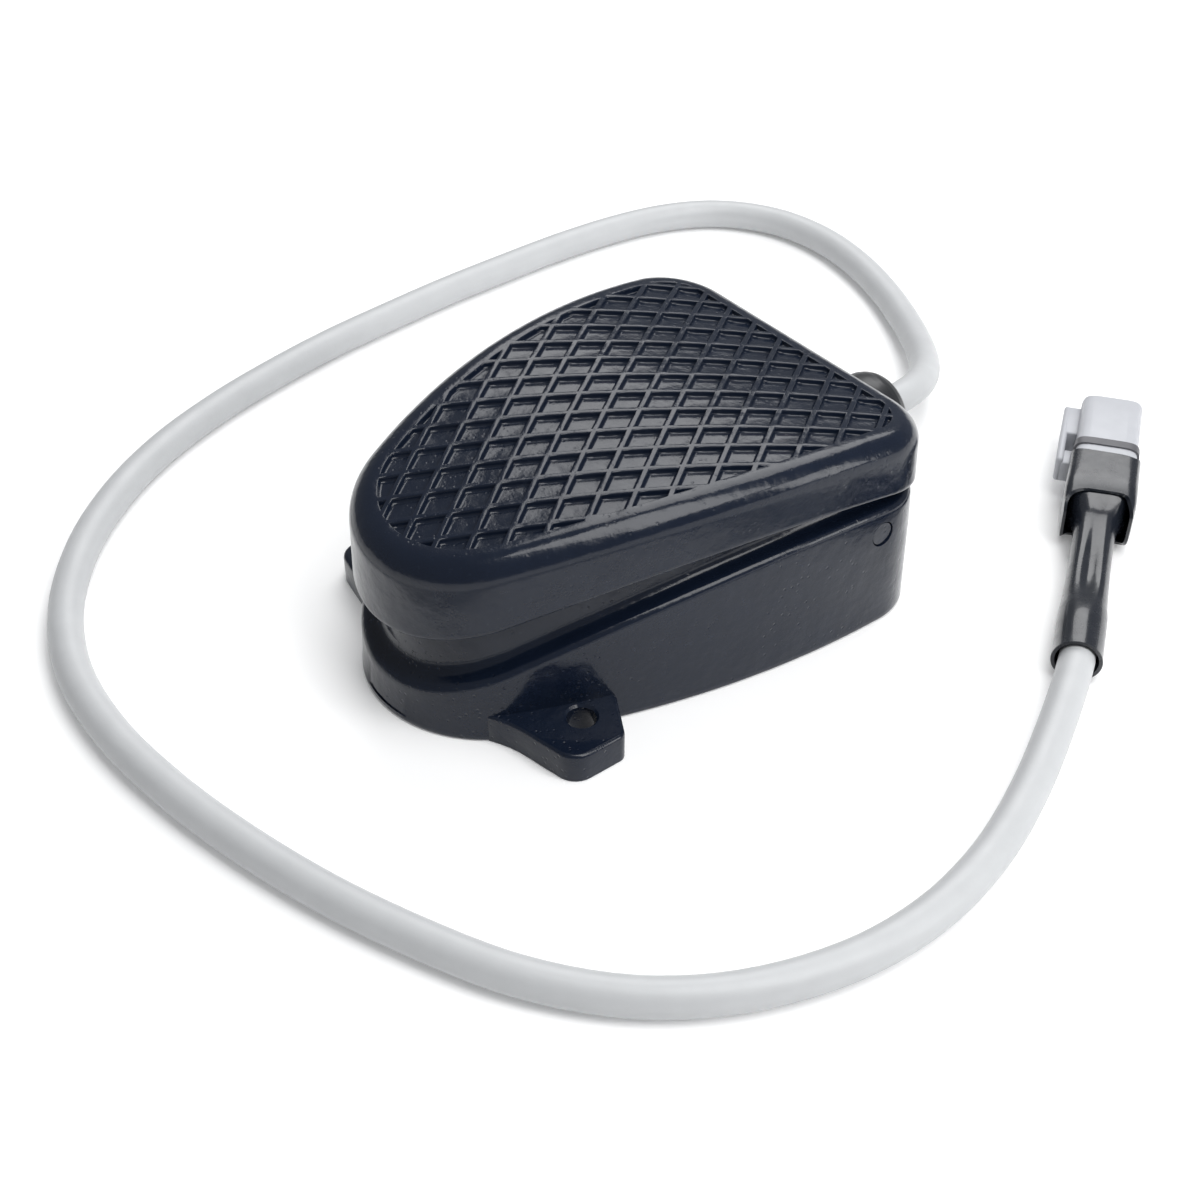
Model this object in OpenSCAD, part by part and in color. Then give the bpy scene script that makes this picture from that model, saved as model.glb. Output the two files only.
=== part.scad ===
// Industrial foot switch: a cast base, a hinged cast pedal with a diamond tread, a sealed
// snap-action switch worked through a push rod, and a lead with a sealed two-way connector.
// Frame: X to the side, Y from the toe end to the hinge end, Z up. The origin is on the
// mounting plane, midway between the two fixing holes.

/* [Outline] */
// Half the width of the pedal and the base at the hinge end
half_w = 45.5; // [43:0.5:50]
// Distance from the fixing holes to the toe
toe_reach = 27; // [22:1:30]
// Distance from the fixing holes to the rear wall
rear_reach = 94; // [90:1:100]
// Radius of the two rear corners, seen from above
corner_r = 16; // [12:1:17]
// Radius of the long side curves, seen from above
side_r = 210; // [200:5:240]

/* [Pedal] */
// Height of the tread's crown above the floor
crown_z = 51.5; // [50.5:0.5:56]
// Radius of the crowned top, seen from the side
crown_r = 280; // [240:10:400]
// Height of the top of the skirt's lower edge curve
skirt_z = 38.2; // [37:0.2:39.4]
// Radius of the skirt's lower edge, seen from the side
skirt_r = 190; // [185:5:220]
// Rounding of the pedal's top edge
edge_r = 5; // [3:0.5:6]
// Thickness of the skirt
skirt_wall = 3; // [2:0.2:3.2]
// Thickness of the pedal's roof under the border
roof_wall = 4.6; // [4:0.2:5]
// Width of the plain border round the tread
border_w = 6.4; // [5.5:0.2:8]
// Length of a tread diamond along the pedal
cell_len = 12.4; // [10:0.4:16]
// Width of a tread diamond across the pedal
cell_wid = 8.7; // [7.5:0.1:12]
// Width of a tread rib at its top
rib_w = 1.6; // [1:0.1:2.2]
// Depth of the tread pockets
pocket_d = 1.4; // [0.8:0.1:1.8]
// How far a pocket's walls lean in over its depth
pocket_lean = 0.7; // [0.2:0.1:1]

/* [Base] */
// Height of the top of the base's ledge
ledge_z = 32; // [31:0.2:32.8]
// Radius of the ledge, seen from the side
ledge_r = 187; // [180:1:200]
// Width of the ledge outside the upstand
ledge_w = 5.5; // [5:0.1:6]
// Thickness of the upstand that stands inside the skirt
upstand_wall = 3; // [2:0.2:3.4]
// Height of the upstand that stands inside the skirt
upstand_z = 40.4; // [39.4:0.2:40.6]
// Radius of the upstand's top, seen from the side
upstand_r = 175; // [165:1:178]
// Thickness of the base's walls
base_wall = 6; // [5:0.5:6.5]
// Thickness of the deck above the switch chamber
deck_wall = 3; // [2.4:0.1:3.2]
// Depth of the deck below the ledge
deck_drop = 1.5; // [1.2:0.1:1.8]
// Draft of the base's outer wall over its height
base_draft = 0.6; // [0.2:0.1:1]

/* [Fixing ears] */
// Distance between the two fixing holes
hole_spacing = 70; // [68:1:74]
// Diameter of a fixing hole
hole_d = 6.5; // [5:0.1:7]
// Thickness of an ear
ear_t = 7; // [5:0.5:8]
// Distance from a hole to the ear's outer edge
ear_reach = 8.5; // [7.5:0.5:10]

/* [Hinge] */
// Distance from the rear wall to the hinge axis
hinge_back = 18; // [17:0.5:19]
// Height of the hinge axis
hinge_z = 25; // [24.5:0.1:25.5]
// Diameter of a hinge pin
pin_d = 6; // [5:0.1:6.4]
// Wall of a hinge bush
bush_wall = 1; // [0.8:0.1:1.4]
// Radial running clearance of a hinge bush on its pin
pin_play = 0.03; // [0.02:0.01:0.08]
// Distance of a hinge lug's middle from the side
lug_side = 13; // [12.5:0.1:13.5]
// Width of a hinge lug
lug_w = 6.5; // [5.5:0.1:7]
// Outer radius of a hinge lug
lug_r = 7; // [6.6:0.1:7.2]
// Side clearance of a lug in its well
well_side = 1; // [0.5:0.1:1.2]
// Clearance between the lug's heel and the well when the pedal is up
heel_gap = 0.3; // [0.2:0.05:0.5]

/* [Spring and stops] */
// Distance of the return spring from the hinge axis
spring_reach = 61; // [59:0.5:62]
// Mean radius of the return spring
spring_r = 8; // [7.5:0.1:8.6]
// Wire diameter of the return spring
wire_d = 1.5; // [1:0.1:1.6]
// Number of turns of the return spring
spring_turns = 4.5; // [3:0.5:5]
// Diameter of a stop buffer
buffer_d = 12; // [9:0.5:12.5]
// Height of a stop buffer
buffer_h = 10; // [8:0.1:10]

/* [Push rod] */
// Distance of the push rod from the hinge axis
rod_reach = 28; // [27:0.5:29]
// Diameter of the push rod
rod_d = 5; // [4:0.1:5.4]
// Clearance between parts that meet when the pedal goes down
touch_gap = 0.3; // [0.2:0.05:0.4]
// Radial clearance of the push rod in its guide
rod_play = 0.05; // [0.03:0.01:0.1]

/* [Snap switch] */
// Length of the switch body
switch_len = 27.8; // [26:0.2:28.4]
// Width of the switch body
switch_w = 10.3; // [9:0.1:11]
// Height of the switch body
switch_h = 15.9; // [14.5:0.1:16.2]
// Thickness of the switch bracket
bracket_t = 1.5; // [1:0.1:2]

/* [Bottom cover] */
// Thickness of the cover plate
cover_t = 2; // [1.5:0.1:2.5]
// Thickness of the cover gasket
gasket_t = 1; // [0.5:0.1:1.5]
// Width of the base's rim outside the cover
rim_w = 2.5; // [2:0.1:3]
// Clearance round the cover
cover_play = 0.3; // [0.1:0.1:0.5]

/* [Gland and lead] */
// Height of the gland's axis
gland_z = 16; // [15.6:0.1:16.2]
// Diameter of the gland's thread
gland_d = 16; // [15:0.1:16.4]
// Distance across the flats of the gland
gland_af = 23; // [21:0.5:24]
// Diameter of the cable
cable_d = 8; // [8:0.1:8]
// Width of the connector's housing
plug_w = 15; // [14:0.1:15.4]
// Height of the connector's housing
plug_h = 13.8; // [13:0.1:14]
// Length of the connector's housing
plug_len = 33; // [31:0.5:35]

/* [Hidden] */
$fn = 48;

// Colours
iron = [0.16, 0.17, 0.21];
steel = [0.72, 0.73, 0.75];
brass = [0.78, 0.62, 0.30];
rubber = [0.07, 0.07, 0.08];
black_plastic = [0.10, 0.10, 0.11];
grey_plastic = [0.72, 0.73, 0.75];
cable_grey = [0.78, 0.79, 0.80];

// ---- Outline seen from above: a nose arc, two long side arcs and two corner arcs, all
// tangent. An inset d shrinks every arc about its own centre. ----
front_y = -toe_reach;
apex_y = rear_reach - corner_r;
side_cx = half_w - side_r;
reach = apex_y - front_y;
nose_r = (side_r * side_r - side_cx * side_cx - reach * reach) / (2 * (side_r - reach));
nose_y = front_y + nose_r;
nose_end = atan2(nose_y - apex_y, -side_cx);
nose_steps = 9;
side_steps = 10;
corner_steps = 6;

function arc(cx, cy, r, a0, a1, n, first) =
    [for (i = [first:n]) let (a = a0 + (a1 - a0) * i / n) [cx + r * cos(a), cy + r * sin(a)]];
function half_line(d) = concat(
    arc(0, nose_y, nose_r - d, -90, nose_end, nose_steps, 0),
    arc(side_cx, apex_y, side_r - d, nose_end, 0, side_steps, 1),
    arc(half_w - corner_r, apex_y, corner_r - d, 0, 90, corner_steps, 1));
half_n = nose_steps + side_steps + corner_steps;
ring_n = 2 * half_n + 1;
function outline(d) = let (h = half_line(d))
    concat(h, [for (i = [half_n:-1:1]) [-h[i].x, h[i].y]]);
function half_width_at(y, d) =
    y < nose_y + (nose_r - d) * sin(nose_end)
        ? sqrt(max(0, pow(nose_r - d, 2) - pow(y - nose_y, 2)))
        : side_cx + sqrt(pow(side_r - d, 2) - pow(y - apex_y, 2));

// ---- Curves seen from the side: [y of the top, height of the top, radius], radius 0 is flat
crown = [rear_reach - 54, crown_z, crown_r];
skirt = [rear_reach - 51, skirt_z, skirt_r];
ledge = [rear_reach - 33, ledge_z, ledge_r];
upstand = [rear_reach - 48, upstand_z, upstand_r];
function level(z) = [0, z, 0];
function height(c, y) = c[2] == 0 ? c[1] : c[1] - c[2] + sqrt(c[2] * c[2] - pow(y - c[0], 2));

// A solid skinned over rings of the outline: each ring is [inset, side curve, rise]
module skin(rings) {
    top = len(rings) - 1;
    points = [for (r = rings) each [for (p = outline(r[0])) [p.x, p.y, height(r[1], p.y) + r[2]]]];
    walls = [for (i = [0:top - 1]) for (j = [0:ring_n - 1])
        let (a = i * ring_n + j, b = i * ring_n + (j + 1) % ring_n)
            each [[a, a + ring_n, b + ring_n], [a, b + ring_n, b]]];
    function left(k) = ring_n - k;
    floor_cap = [for (k = [1:half_n - 1]) [k, k + 1, left(k + 1), left(k)]];
    t = top * ring_n;
    top_cap = [for (k = [1:half_n - 1]) [t + left(k), t + left(k + 1), t + k + 1, t + k]];
    polyhedron(points, concat(walls, [[0, 1, left(1)]], floor_cap,
        [[t, t + left(1), t + 1]], top_cap));
}

// A flat plate of the outline
module plate(d, z0, z1) {
    translate([0, 0, z0]) linear_extrude(z1 - z0) polygon(outline(d));
}

module both_sides() {
    children();
    mirror([1, 0, 0]) children();
}

module box(x, y, z) {
    translate([x[0], y[0], z[0]]) cube([x[1] - x[0], y[1] - y[0], z[1] - z[0]]);
}

module rod_z(x, y, z0, z1, r) {
    translate([x, y, z0]) cylinder(h = z1 - z0, r = r);
}

module rod_x(x0, x1, y, z, r, sides = 48) {
    translate([x0, y, z]) rotate([0, 90, 0]) cylinder(h = x1 - x0, r = r, $fn = sides);
}

module rod_y(y0, y1, r, sides = 48) {
    translate([0, y0, gland_z]) rotate([-90, 0, 0]) cylinder(h = y1 - y0, r = r, $fn = sides);
}

// ---- Swept tube along a list of points ----
function unit(v) = v / norm(v);
function tangent(p, i) = unit(p[min(i + 1, len(p) - 1)] - p[max(i - 1, 0)]);
function ring_at(p, i, r, n) = let (t = tangent(p, i), s = unit(cross(t, [0, 0, 1])),
    u = cross(s, t)) [for (k = [0:n - 1]) p[i] + r * (cos(360 * k / n) * s + sin(360 * k / n) * u)];
module tube(p, r, n) {
    last = len(p) - 1;
    points = [for (i = [0:last]) each ring_at(p, i, r, n)];
    walls = [for (i = [0:last - 1]) for (k = [0:n - 1])
        let (a = i * n + k, b = i * n + (k + 1) % n) each [[a, b, b + n], [a, b + n, a + n]]];
    polyhedron(points, concat(walls, [[for (k = [n - 1:-1:0]) k]], [[for (k = [0:n - 1]) last * n + k]]));
}
function blend_point(a, b, c, d, t) = 0.5 * (2 * b + (c - a) * t
    + (2 * a - 5 * b + 4 * c - d) * t * t + (3 * b - a - 3 * c + d) * t * t * t);
function smooth(p, n) = let (last = len(p) - 1) concat([for (i = [0:last - 1]) for (k = [0:n - 1])
    blend_point(p[max(i - 1, 0)], p[i], p[i + 1], p[min(i + 2, last)], k / n)], [p[last]]);

// ---- Places worked out from the sizes ----
chamber_z = cover_t + gasket_t;
chamber_lean = 0.3;
hinge_y = rear_reach - hinge_back;
lug_x = half_w - lug_side;
spring_y = hinge_y - spring_reach;
rod_y = hinge_y - rod_reach;
deck_under = deck_drop + deck_wall;
pin_r = pin_d / 2;
bush_r = pin_r + pin_play + bush_wall;
hole_x = hole_spacing / 2;
lug_in = lug_x - lug_w / 2;
lug_out = lug_x + lug_w / 2;
well_in = lug_in - well_side;
well_out = lug_out + well_side;
well_front = hinge_y - 9.5;
well_rear = hinge_y + 9;
well_floor = hinge_z - 8.5;
web_t = 3.5;
web_x = well_in - web_t;
block_front = well_front - web_t;
pin_out = half_w - base_draft;

// Cover screws: [x, y, depth into the base]
front_boss = [half_w - 18.5, spring_y + 5];
toe_boss = [0, front_y + 11];
boss_r = 4.5;
cover_screw_r = 2;
cover_points = [[lug_x, hinge_y, 10], [-lug_x, hinge_y, 10], [front_boss.x, front_boss.y, 10],
    [-front_boss.x, front_boss.y, 10], [toe_boss.x, toe_boss.y, 5]];

// Return spring between its seats
seat_r = spring_r + 3;
spigot_r = spring_r - wire_d / 2 - 0.9;
spring_low = height(ledge, spring_y + seat_r) - deck_drop + 0.4;
spring_top = height(crown, spring_y - seat_r) - roof_wall - 0.3;

// Stop buffers
buffer_y = spring_y - 11;
buffer_gap = 1.9;
buffer_x = half_width_at(buffer_y, ledge_w + upstand_wall) - buffer_d / 2 - buffer_gap;
buffer_low = height(ledge, buffer_y + buffer_d / 2) - deck_drop + 0.5;
pad_z = height(crown, buffer_y - buffer_d / 2) - roof_wall - 0.2;

// Push rod and its guide, from the deck down to the lever
guide_boss_r = 8;
guide_z = height(ledge, rod_y) - deck_drop + 0.8;
flange_t = 1.2;
flange_r = 6.5;
guide_r = 4.5;
rod_travel = 3.7;
rod_head_r = 4.5;
rod_head_t = 1.5;
rod_head_z = guide_z + flange_t + rod_travel + touch_gap;
rod_top = rod_head_z + rod_head_t;
screw_r = 2.5;
screw_tip = rod_top + touch_gap;
nut_z = screw_tip + 2.3;
nut_t = 3.2;

// Snap switch
switch_z = chamber_z + 1;
switch_top = switch_z + switch_h;
switch_rear = rod_y + 18.5;
switch_front = switch_rear - switch_len;
pivot_y = switch_rear - 2;
lever_t = 0.8;
lever_w = 4.6;
lever_z = switch_top + 4.8;
pivot_z = lever_z + lever_t / 2;
lever_pin_r = 0.75;
barrel_r = 1.3;
plunger_y = pivot_y - 5;
plunger_r = 1.2;
plunger_play = 0.05;
rod_low = lever_z + lever_t + touch_gap;
switch_x = switch_w / 2;
mount_holes = [[switch_rear - 24.9, switch_z + 2.8], [switch_rear - 2.7, switch_z + 13.1]];
m3 = 1.5;
bracket_points = [[switch_x + 8, switch_front + 6], [switch_x + 8, switch_front + 18]];
flange_z = height(ledge, bracket_points[0].y) - deck_under - 1.4;

// Gland along the lead's way out
seat_y = rear_reach + 0.4;
washer_t = 0.8;
hex_r = gland_af / 2 / cos(30);
thread_r = gland_d / 2;
neck_r = gland_af / 2 - 2.8;
locknut_af = gland_d + 3;
body_hex = 6.4;
nut_start = seat_y + washer_t + body_hex + 0.4;
nut_hex = 8.6;
gland_end = nut_start + nut_hex + 12;
tail_y = hinge_y - 5;
cable_r = cable_d / 2;
seal_r = cable_r + 2.5;
clamp_y = hinge_y;
clamp_x = 11;
clamp_r = cable_r + 1.2;
clamp_z = gland_z + 4.6;
clamp_t = 1.4;

// ---- Route of the lead, from the gland to the sleeve, lying on the floor ----
route = [[0, gland_end - 1, gland_z], [-1, 130, 15.4], [-4.5, 139, 13.2], [-10, 147.5, 10.4],
    [-17.5, 155.5, 7.8], [-27, 163, 5.8], [-38.5, 170, 4.6], [-52, 176.5, 4.1], [-67, 181.5, 4],
    [-83, 184, 4], [-98, 182.5, 4], [-110, 177, 4], [-119.5, 168, 4], [-126, 155, 4],
    [-129.5, 139, 4], [-131, 120, 4], [-131, 100, 4], [-130.5, 80, 4], [-129, 60, 4],
    [-127, 40, 4], [-123.5, 20, 4], [-118.5, 0, 4], [-111, -20, 4], [-100.5, -38, 4],
    [-86, -54.5, 4], [-67.5, -68, 4], [-47, -76, 4], [-25, -78.5, 4], [-3, -77, 4],
    [19, -73, 4], [41, -67, 4], [62, -59, 4], [81, -49.5, 4], [97, -36.5, 4], [108.5, -20, 4],
    [115.5, 0, 4], [117, 20, 4], [113.5, 40, 4], [106, 60, 4.2], [96, 80, 5]];
plug_at = [86.5, 96.5];
plug_turn = 36;
plug_z = 5.5;
bury = 12;
cord_end = [plug_at.x - bury * sin(plug_turn), plug_at.y + bury * cos(plug_turn), plug_z];
cord_points = concat(route, [[plug_at.x, plug_at.y, plug_z]], [cord_end]);

// Connector, in its own frame: Y along the connector, from the sleeve's mouth
housing_y = 60.5;
housing_low = 1.1;
housing_top = housing_low + plug_h;
housing_mid = housing_low + plug_h / 2;
housing_end = housing_y + plug_len;
shell_wall = 1.6;
core_gap = 1.3;
contact_x = 2.6;
contact_r = 1.1;

module base_shell() {
    deck_inset = ledge_w + upstand_wall;
    difference() {
        skin([[0, level(0), 0], [base_draft, ledge, -0.9], [base_draft + 0.9, ledge, 0]]);
        skin([[deck_inset, ledge, -deck_drop], [deck_inset, ledge, 2]]);
    }
    difference() {
        skin([[ledge_w, ledge, -2], [ledge_w + 0.2, upstand, -0.7],
            [ledge_w + 0.9, upstand, 0]]);
        skin([[deck_inset, ledge, -3], [deck_inset - 0.2, upstand, 2]]);
    }
}

module base_bosses() {
    rod_z(0, spring_y, height(ledge, spring_y - seat_r) - deck_under + 0.5, spring_low, seat_r);
    rod_z(0, spring_y, spring_low - 1, spring_low + 3.4, spigot_r);
    rod_z(0, rod_y, height(ledge, rod_y) - deck_under - 1, guide_z, guide_boss_r);
    both_sides() rod_z(buffer_x, buffer_y, height(ledge, buffer_y) - deck_under + 1,
        buffer_low, buffer_d / 2 + 0.5);
    translate([0, rear_reach - 4, gland_z]) rotate([-90, 0, 0])
        cylinder(h = seat_y - rear_reach + 4, r = gland_af / 2 + 1);
}

module chamber() {
    difference() {
        skin([[base_wall, level(-1), 0], [base_wall + chamber_lean, ledge, -deck_under]]);
        both_sides() {
            box([web_x, half_w], [block_front, rear_reach], [0, ledge_z]);
            rod_z(front_boss.x, front_boss.y, 0, ledge_z, boss_r);
        }
        rod_z(toe_boss.x, toe_boss.y, 0, ledge_z, boss_r);
        for (p = bracket_points) rod_z(p.x, p.y, flange_z, ledge_z, 4);
        rod_z(clamp_x, clamp_y, clamp_z + clamp_t, ledge_z, 4);
        rod_z(0, rod_y, rod_low + 0.6, ledge_z, guide_boss_r);
        rod_z(0, spring_y, height(ledge, spring_y - seat_r) - deck_under, ledge_z, seat_r);
        both_sides() rod_z(buffer_x, buffer_y, height(ledge, buffer_y) - deck_under, ledge_z,
            buffer_d / 2 + 0.5);
    }
}

// Mounting ear: the rounded outer corners, swept back to the wall at the toe side
module ear() {
    corner = 4;
    tip_x = hole_x + ear_reach - corner;
    toe_side = -5.2;
    rear_side = 3.2;
    linear_extrude(ear_t) {
        polygon([[15, -13.7], [tip_x + 0.7, toe_side - 3.94], [tip_x, toe_side],
            [tip_x + corner, toe_side], [tip_x + corner, rear_side], [tip_x, rear_side],
            [tip_x + 1.9, rear_side + 3.53], [33, 11.2], [15, 11.2]]);
        translate([tip_x, toe_side]) circle(r = corner);
        translate([tip_x, rear_side]) circle(r = corner);
    }
}

module base_casting() {
    color(iron) difference() {
        union() {
            base_shell();
            base_bosses();
            difference() {
                both_sides() ear();
                plate(base_wall, -1, ear_t + 1);
            }
        }
        chamber();
        plate(rim_w, -1, chamber_z);
        both_sides() {
            box([well_in, well_out], [well_front, well_rear], [well_floor, ledge_z + 1]);
            rod_x(web_x - 0.1, half_w + 1, hinge_y, hinge_z, pin_r);
            rod_z(hole_x, 0, -1, ear_t + 1, hole_d / 2);
        }
        rod_z(0, rod_y, rod_low, guide_z + 1, guide_r);
        for (p = cover_points) rod_z(p.x, p.y, 0, chamber_z + p[2], cover_screw_r);
        for (p = bracket_points) rod_z(p.x, p.y, flange_z - 1, flange_z + 3.4, m3);
        rod_z(clamp_x, clamp_y, clamp_z, clamp_z + clamp_t + 4.5, m3);
        rod_y(rear_reach - base_wall - 2, seat_y + 1, thread_r + 0.1);
    }
}

// One tread pocket: a four-sided pit that follows the slope of the crown
module pocket(x, y) {
    full = [cell_wid / 2, cell_len / 2];
    span = full.x * full.y / norm(full);
    above = 0.8;
    low = (span - rib_w / 2 - pocket_lean) / span;
    high = (span - rib_w / 2 + pocket_lean * above / pocket_d) / span;
    function diamond(s, z) = [[0, -full.y * s, z], [full.x * s, 0, z], [0, full.y * s, z],
        [-full.x * s, 0, z]];
    translate([x, y, height(crown, y)]) rotate([-asin((y - crown[0]) / crown_r), 0, 0])
        polyhedron(concat(diamond(low, -pocket_d), diamond(high, above)),
            [[0, 1, 2, 3], [7, 6, 5, 4], [0, 4, 5, 1], [1, 5, 6, 2], [2, 6, 7, 3], [3, 7, 4, 0]]);
}

// Where a point lies in the tread: positive is inside its edge
function tread_room(x, y) = min(half_width_at(y, border_w) - abs(x),
    rear_reach - border_w - y, y - front_y - border_w,
    y > apex_y && abs(x) > half_w - corner_r
        ? corner_r - border_w - norm([abs(x) - half_w + corner_r, y - apex_y]) : half_w);

rows = floor((rear_reach - front_y) / cell_len) + 1;
cols = floor(half_w / cell_wid) + 1;
cells = [for (row = [-rows:rows]) for (col = [-cols:cols])
    let (x = (col + (abs(row) % 2) / 2) * cell_wid, y = crown[0] + row * cell_len / 2)
        if (y > front_y && y < rear_reach && tread_room(x, y) > -cell_wid / 4) [x, y]];

module tread() {
    inner = norm([cell_wid, cell_len]) / 2;
    for (c = cells) if (tread_room(c.x, c.y) > inner) pocket(c.x, c.y);
    intersection() {
        for (c = cells) if (tread_room(c.x, c.y) <= inner) pocket(c.x, c.y);
        plate(border_w, skirt_z - 8, crown_z + 2);
    }
}

module pedal_shell() {
    bends = [15, 30, 45, 60, 75, 90];
    draft = 0.3;
    difference() {
        skin(concat([[0, skirt, 0], [draft, crown, -edge_r]],
            [for (a = bends) [draft + edge_r * (1 - cos(a)), crown, edge_r * (sin(a) - 1)]]));
        skin([[skirt_wall - 0.2, skirt, -2], [skirt_wall + 0.2, crown, -roof_wall - 3],
            [skirt_wall + 2.2, crown, -roof_wall]]);
    }
}

module lug() {
    rod_x(lug_in, lug_out, hinge_y, hinge_z, lug_r);
    box([lug_in, lug_out], [hinge_y - 5, hinge_y + 5], [hinge_z, crown_z - roof_wall + 0.6]);
    box([lug_in, lug_out], [well_front + heel_gap, hinge_y], [hinge_z - 6.8, hinge_z - 3]);
}

module pedal_ribs() {
    rib_z = crown_z - 10.5;
    rib_x = 19;
    both_sides() box([rib_x, rib_x + 3], [spring_y - 3, hinge_y + 2], [rib_z, crown_z]);
    box([-lug_in - 1, lug_in + 1], [hinge_y - 2, hinge_y + 2], [rib_z, crown_z]);
}

module pedal_casting() {
    inside_z = crown_z - roof_wall;
    color(iron) difference() {
        union() {
            pedal_shell();
            intersection() {
                union() {
                    both_sides() lug();
                    pedal_ribs();
                    rod_z(0, spring_y, spring_top, inside_z + 1, seat_r);
                    rod_z(0, spring_y, spring_top - 3, spring_top + 1, spigot_r);
                    both_sides() rod_z(buffer_x, buffer_y, pad_z, inside_z, 7);
                    rod_z(0, rod_y, nut_z + nut_t, inside_z + 1, 6);
                }
                skin([[edge_r, level(0), 0], [edge_r, crown, -pocket_d - 1.2]]);
            }
        }
        tread();
        both_sides() rod_x(lug_in - 1, lug_out + 1, hinge_y, hinge_z, bush_r);
        rod_z(0, rod_y, nut_z, nut_z + nut_t + 5, screw_r);
    }
}

module hinge_pins() {
    color(steel) both_sides() {
        rod_x(web_x, pin_out - 0.4, hinge_y, hinge_z, pin_r);
        translate([pin_out - 0.4, hinge_y, hinge_z]) rotate([0, 90, 0])
            cylinder(h = 0.3, r1 = pin_r, r2 = pin_r - 0.3);
    }
}

module hinge_bushes() {
    color(brass) both_sides() difference() {
        rod_x(lug_in, lug_out, hinge_y, hinge_z, bush_r);
        rod_x(lug_in - 1, lug_out + 1, hinge_y, hinge_z, pin_r + pin_play);
    }
}

module return_spring() {
    per_turn = 14;
    steps = floor(spring_turns * per_turn);
    low = spring_low + wire_d / 2 + 0.05;
    high = spring_top - wire_d / 2 - 0.05;
    color(steel) tube([for (i = [0:steps]) let (a = 360 * i / per_turn)
        [spring_r * cos(a), spring_y + spring_r * sin(a), low + (high - low) * i / steps]],
        wire_d / 2, 6);
}

module stop_buffers() {
    color(rubber) both_sides() rod_z(buffer_x, buffer_y, buffer_low, buffer_low + buffer_h - 1,
        buffer_d / 2);
    color(rubber) both_sides() translate([buffer_x, buffer_y, buffer_low + buffer_h - 1])
        cylinder(h = 1, r1 = buffer_d / 2, r2 = buffer_d / 2 - 1);
}

module adjuster_screw() {
    color(steel) {
        rod_z(0, rod_y, screw_tip + 1, nut_z + nut_t + 4.5, screw_r);
        translate([0, rod_y, screw_tip]) cylinder(h = 1, r1 = screw_r - 1, r2 = screw_r);
    }
}

module hex_nut(x, y, z, af, t, bore) {
    translate([x, y, z]) difference() {
        cylinder(h = t, r = af / 2 / cos(30), $fn = 6);
        translate([0, 0, -1]) cylinder(h = t + 2, r = bore);
    }
}

module adjuster_nut() {
    color(steel) hex_nut(0, rod_y, nut_z, 8, nut_t, screw_r);
}

module push_rod() {
    color(steel) {
        rod_z(0, rod_y, rod_low + 1, rod_head_z, rod_d / 2);
        rod_z(0, rod_y, rod_head_z, rod_top, rod_head_r);
        translate([0, rod_y, rod_low]) cylinder(h = 1, r1 = rod_d / 2 - 1.5, r2 = rod_d / 2);
    }
}

module rod_guide() {
    color(brass) difference() {
        union() {
            rod_z(0, rod_y, rod_low + 1, guide_z, guide_r);
            rod_z(0, rod_y, guide_z, guide_z + flange_t, flange_r);
        }
        rod_z(0, rod_y, rod_low, guide_z + 2, rod_d / 2 + rod_play);
        rod_z(0, rod_y, guide_z - 1, guide_z + 2, rod_d / 2 + 1.5);
    }
}

module rod_seal() {
    ring_r = 0.7;
    color(rubber) translate([0, rod_y, guide_z - 1 + ring_r]) rotate_extrude()
        translate([rod_d / 2 + rod_play + ring_r, 0]) circle(r = ring_r, $fn = 24);
}

module switch_body() {
    color(black_plastic) difference() {
        union() {
            box([-switch_x, switch_x], [switch_front, switch_rear], [switch_z, switch_top]);
            both_sides() lever_ear();
            rod_z(0, plunger_y, switch_top, switch_top + 1.2, plunger_r + 1.2);
        }
        for (h = mount_holes) rod_x(-switch_x - 1, switch_x + 1, h.x, h.y, m3);
        rod_x(-switch_x - 1, switch_x + 1, pivot_y, pivot_z, lever_pin_r);
        rod_z(0, plunger_y, switch_top - 5.4, switch_top + 2, plunger_r + plunger_play);
    }
}

// Upright that carries the lever's pin
module lever_ear() {
    ear_in = lever_w / 2 + 0.4;
    box([ear_in, ear_in + 1.4], [pivot_y - 1.6, pivot_y + 1.6], [switch_top - 1, pivot_z]);
    rod_x(ear_in, ear_in + 1.4, pivot_y, pivot_z, 1.6);
}

module switch_plunger() {
    color(brass) rod_z(0, plunger_y, switch_top - 3.6, lever_z - touch_gap, plunger_r);
}

module switch_lever() {
    color(steel) difference() {
        union() {
            box([-lever_w / 2, lever_w / 2], [rod_y - 2, pivot_y], [lever_z, lever_z + lever_t]);
            rod_x(-lever_w / 2, lever_w / 2, pivot_y, pivot_z, barrel_r);
        }
        rod_x(-lever_w, lever_w, pivot_y, pivot_z, lever_pin_r + pin_play);
    }
}

module lever_pin() {
    color(steel) rod_x(-lever_w / 2 - 1.8, lever_w / 2 + 1.8, pivot_y, pivot_z, lever_pin_r);
}

module switch_terminals() {
    color(brass) for (k = [0:2])
        box([-2.4, 2.4], [switch_front - 6.7, switch_front], [switch_z + 3 + 4.6 * k,
            switch_z + 3.8 + 4.6 * k]);
}

module switch_bracket() {
    wall = [switch_x, switch_x + bracket_t];
    color(steel) difference() {
        union() {
            box(wall, [switch_front + 1, switch_rear - 1], [switch_z + 1, flange_z]);
            box([wall[0], wall[0] + 14], [switch_front + 1, switch_front + 23],
                [flange_z - bracket_t, flange_z]);
        }
        for (h = mount_holes) rod_x(0, switch_x + 4, h.x, h.y, m3);
        for (p = bracket_points) rod_z(p.x, p.y, flange_z - 4, flange_z + 1, m3);
    }
}

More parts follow.
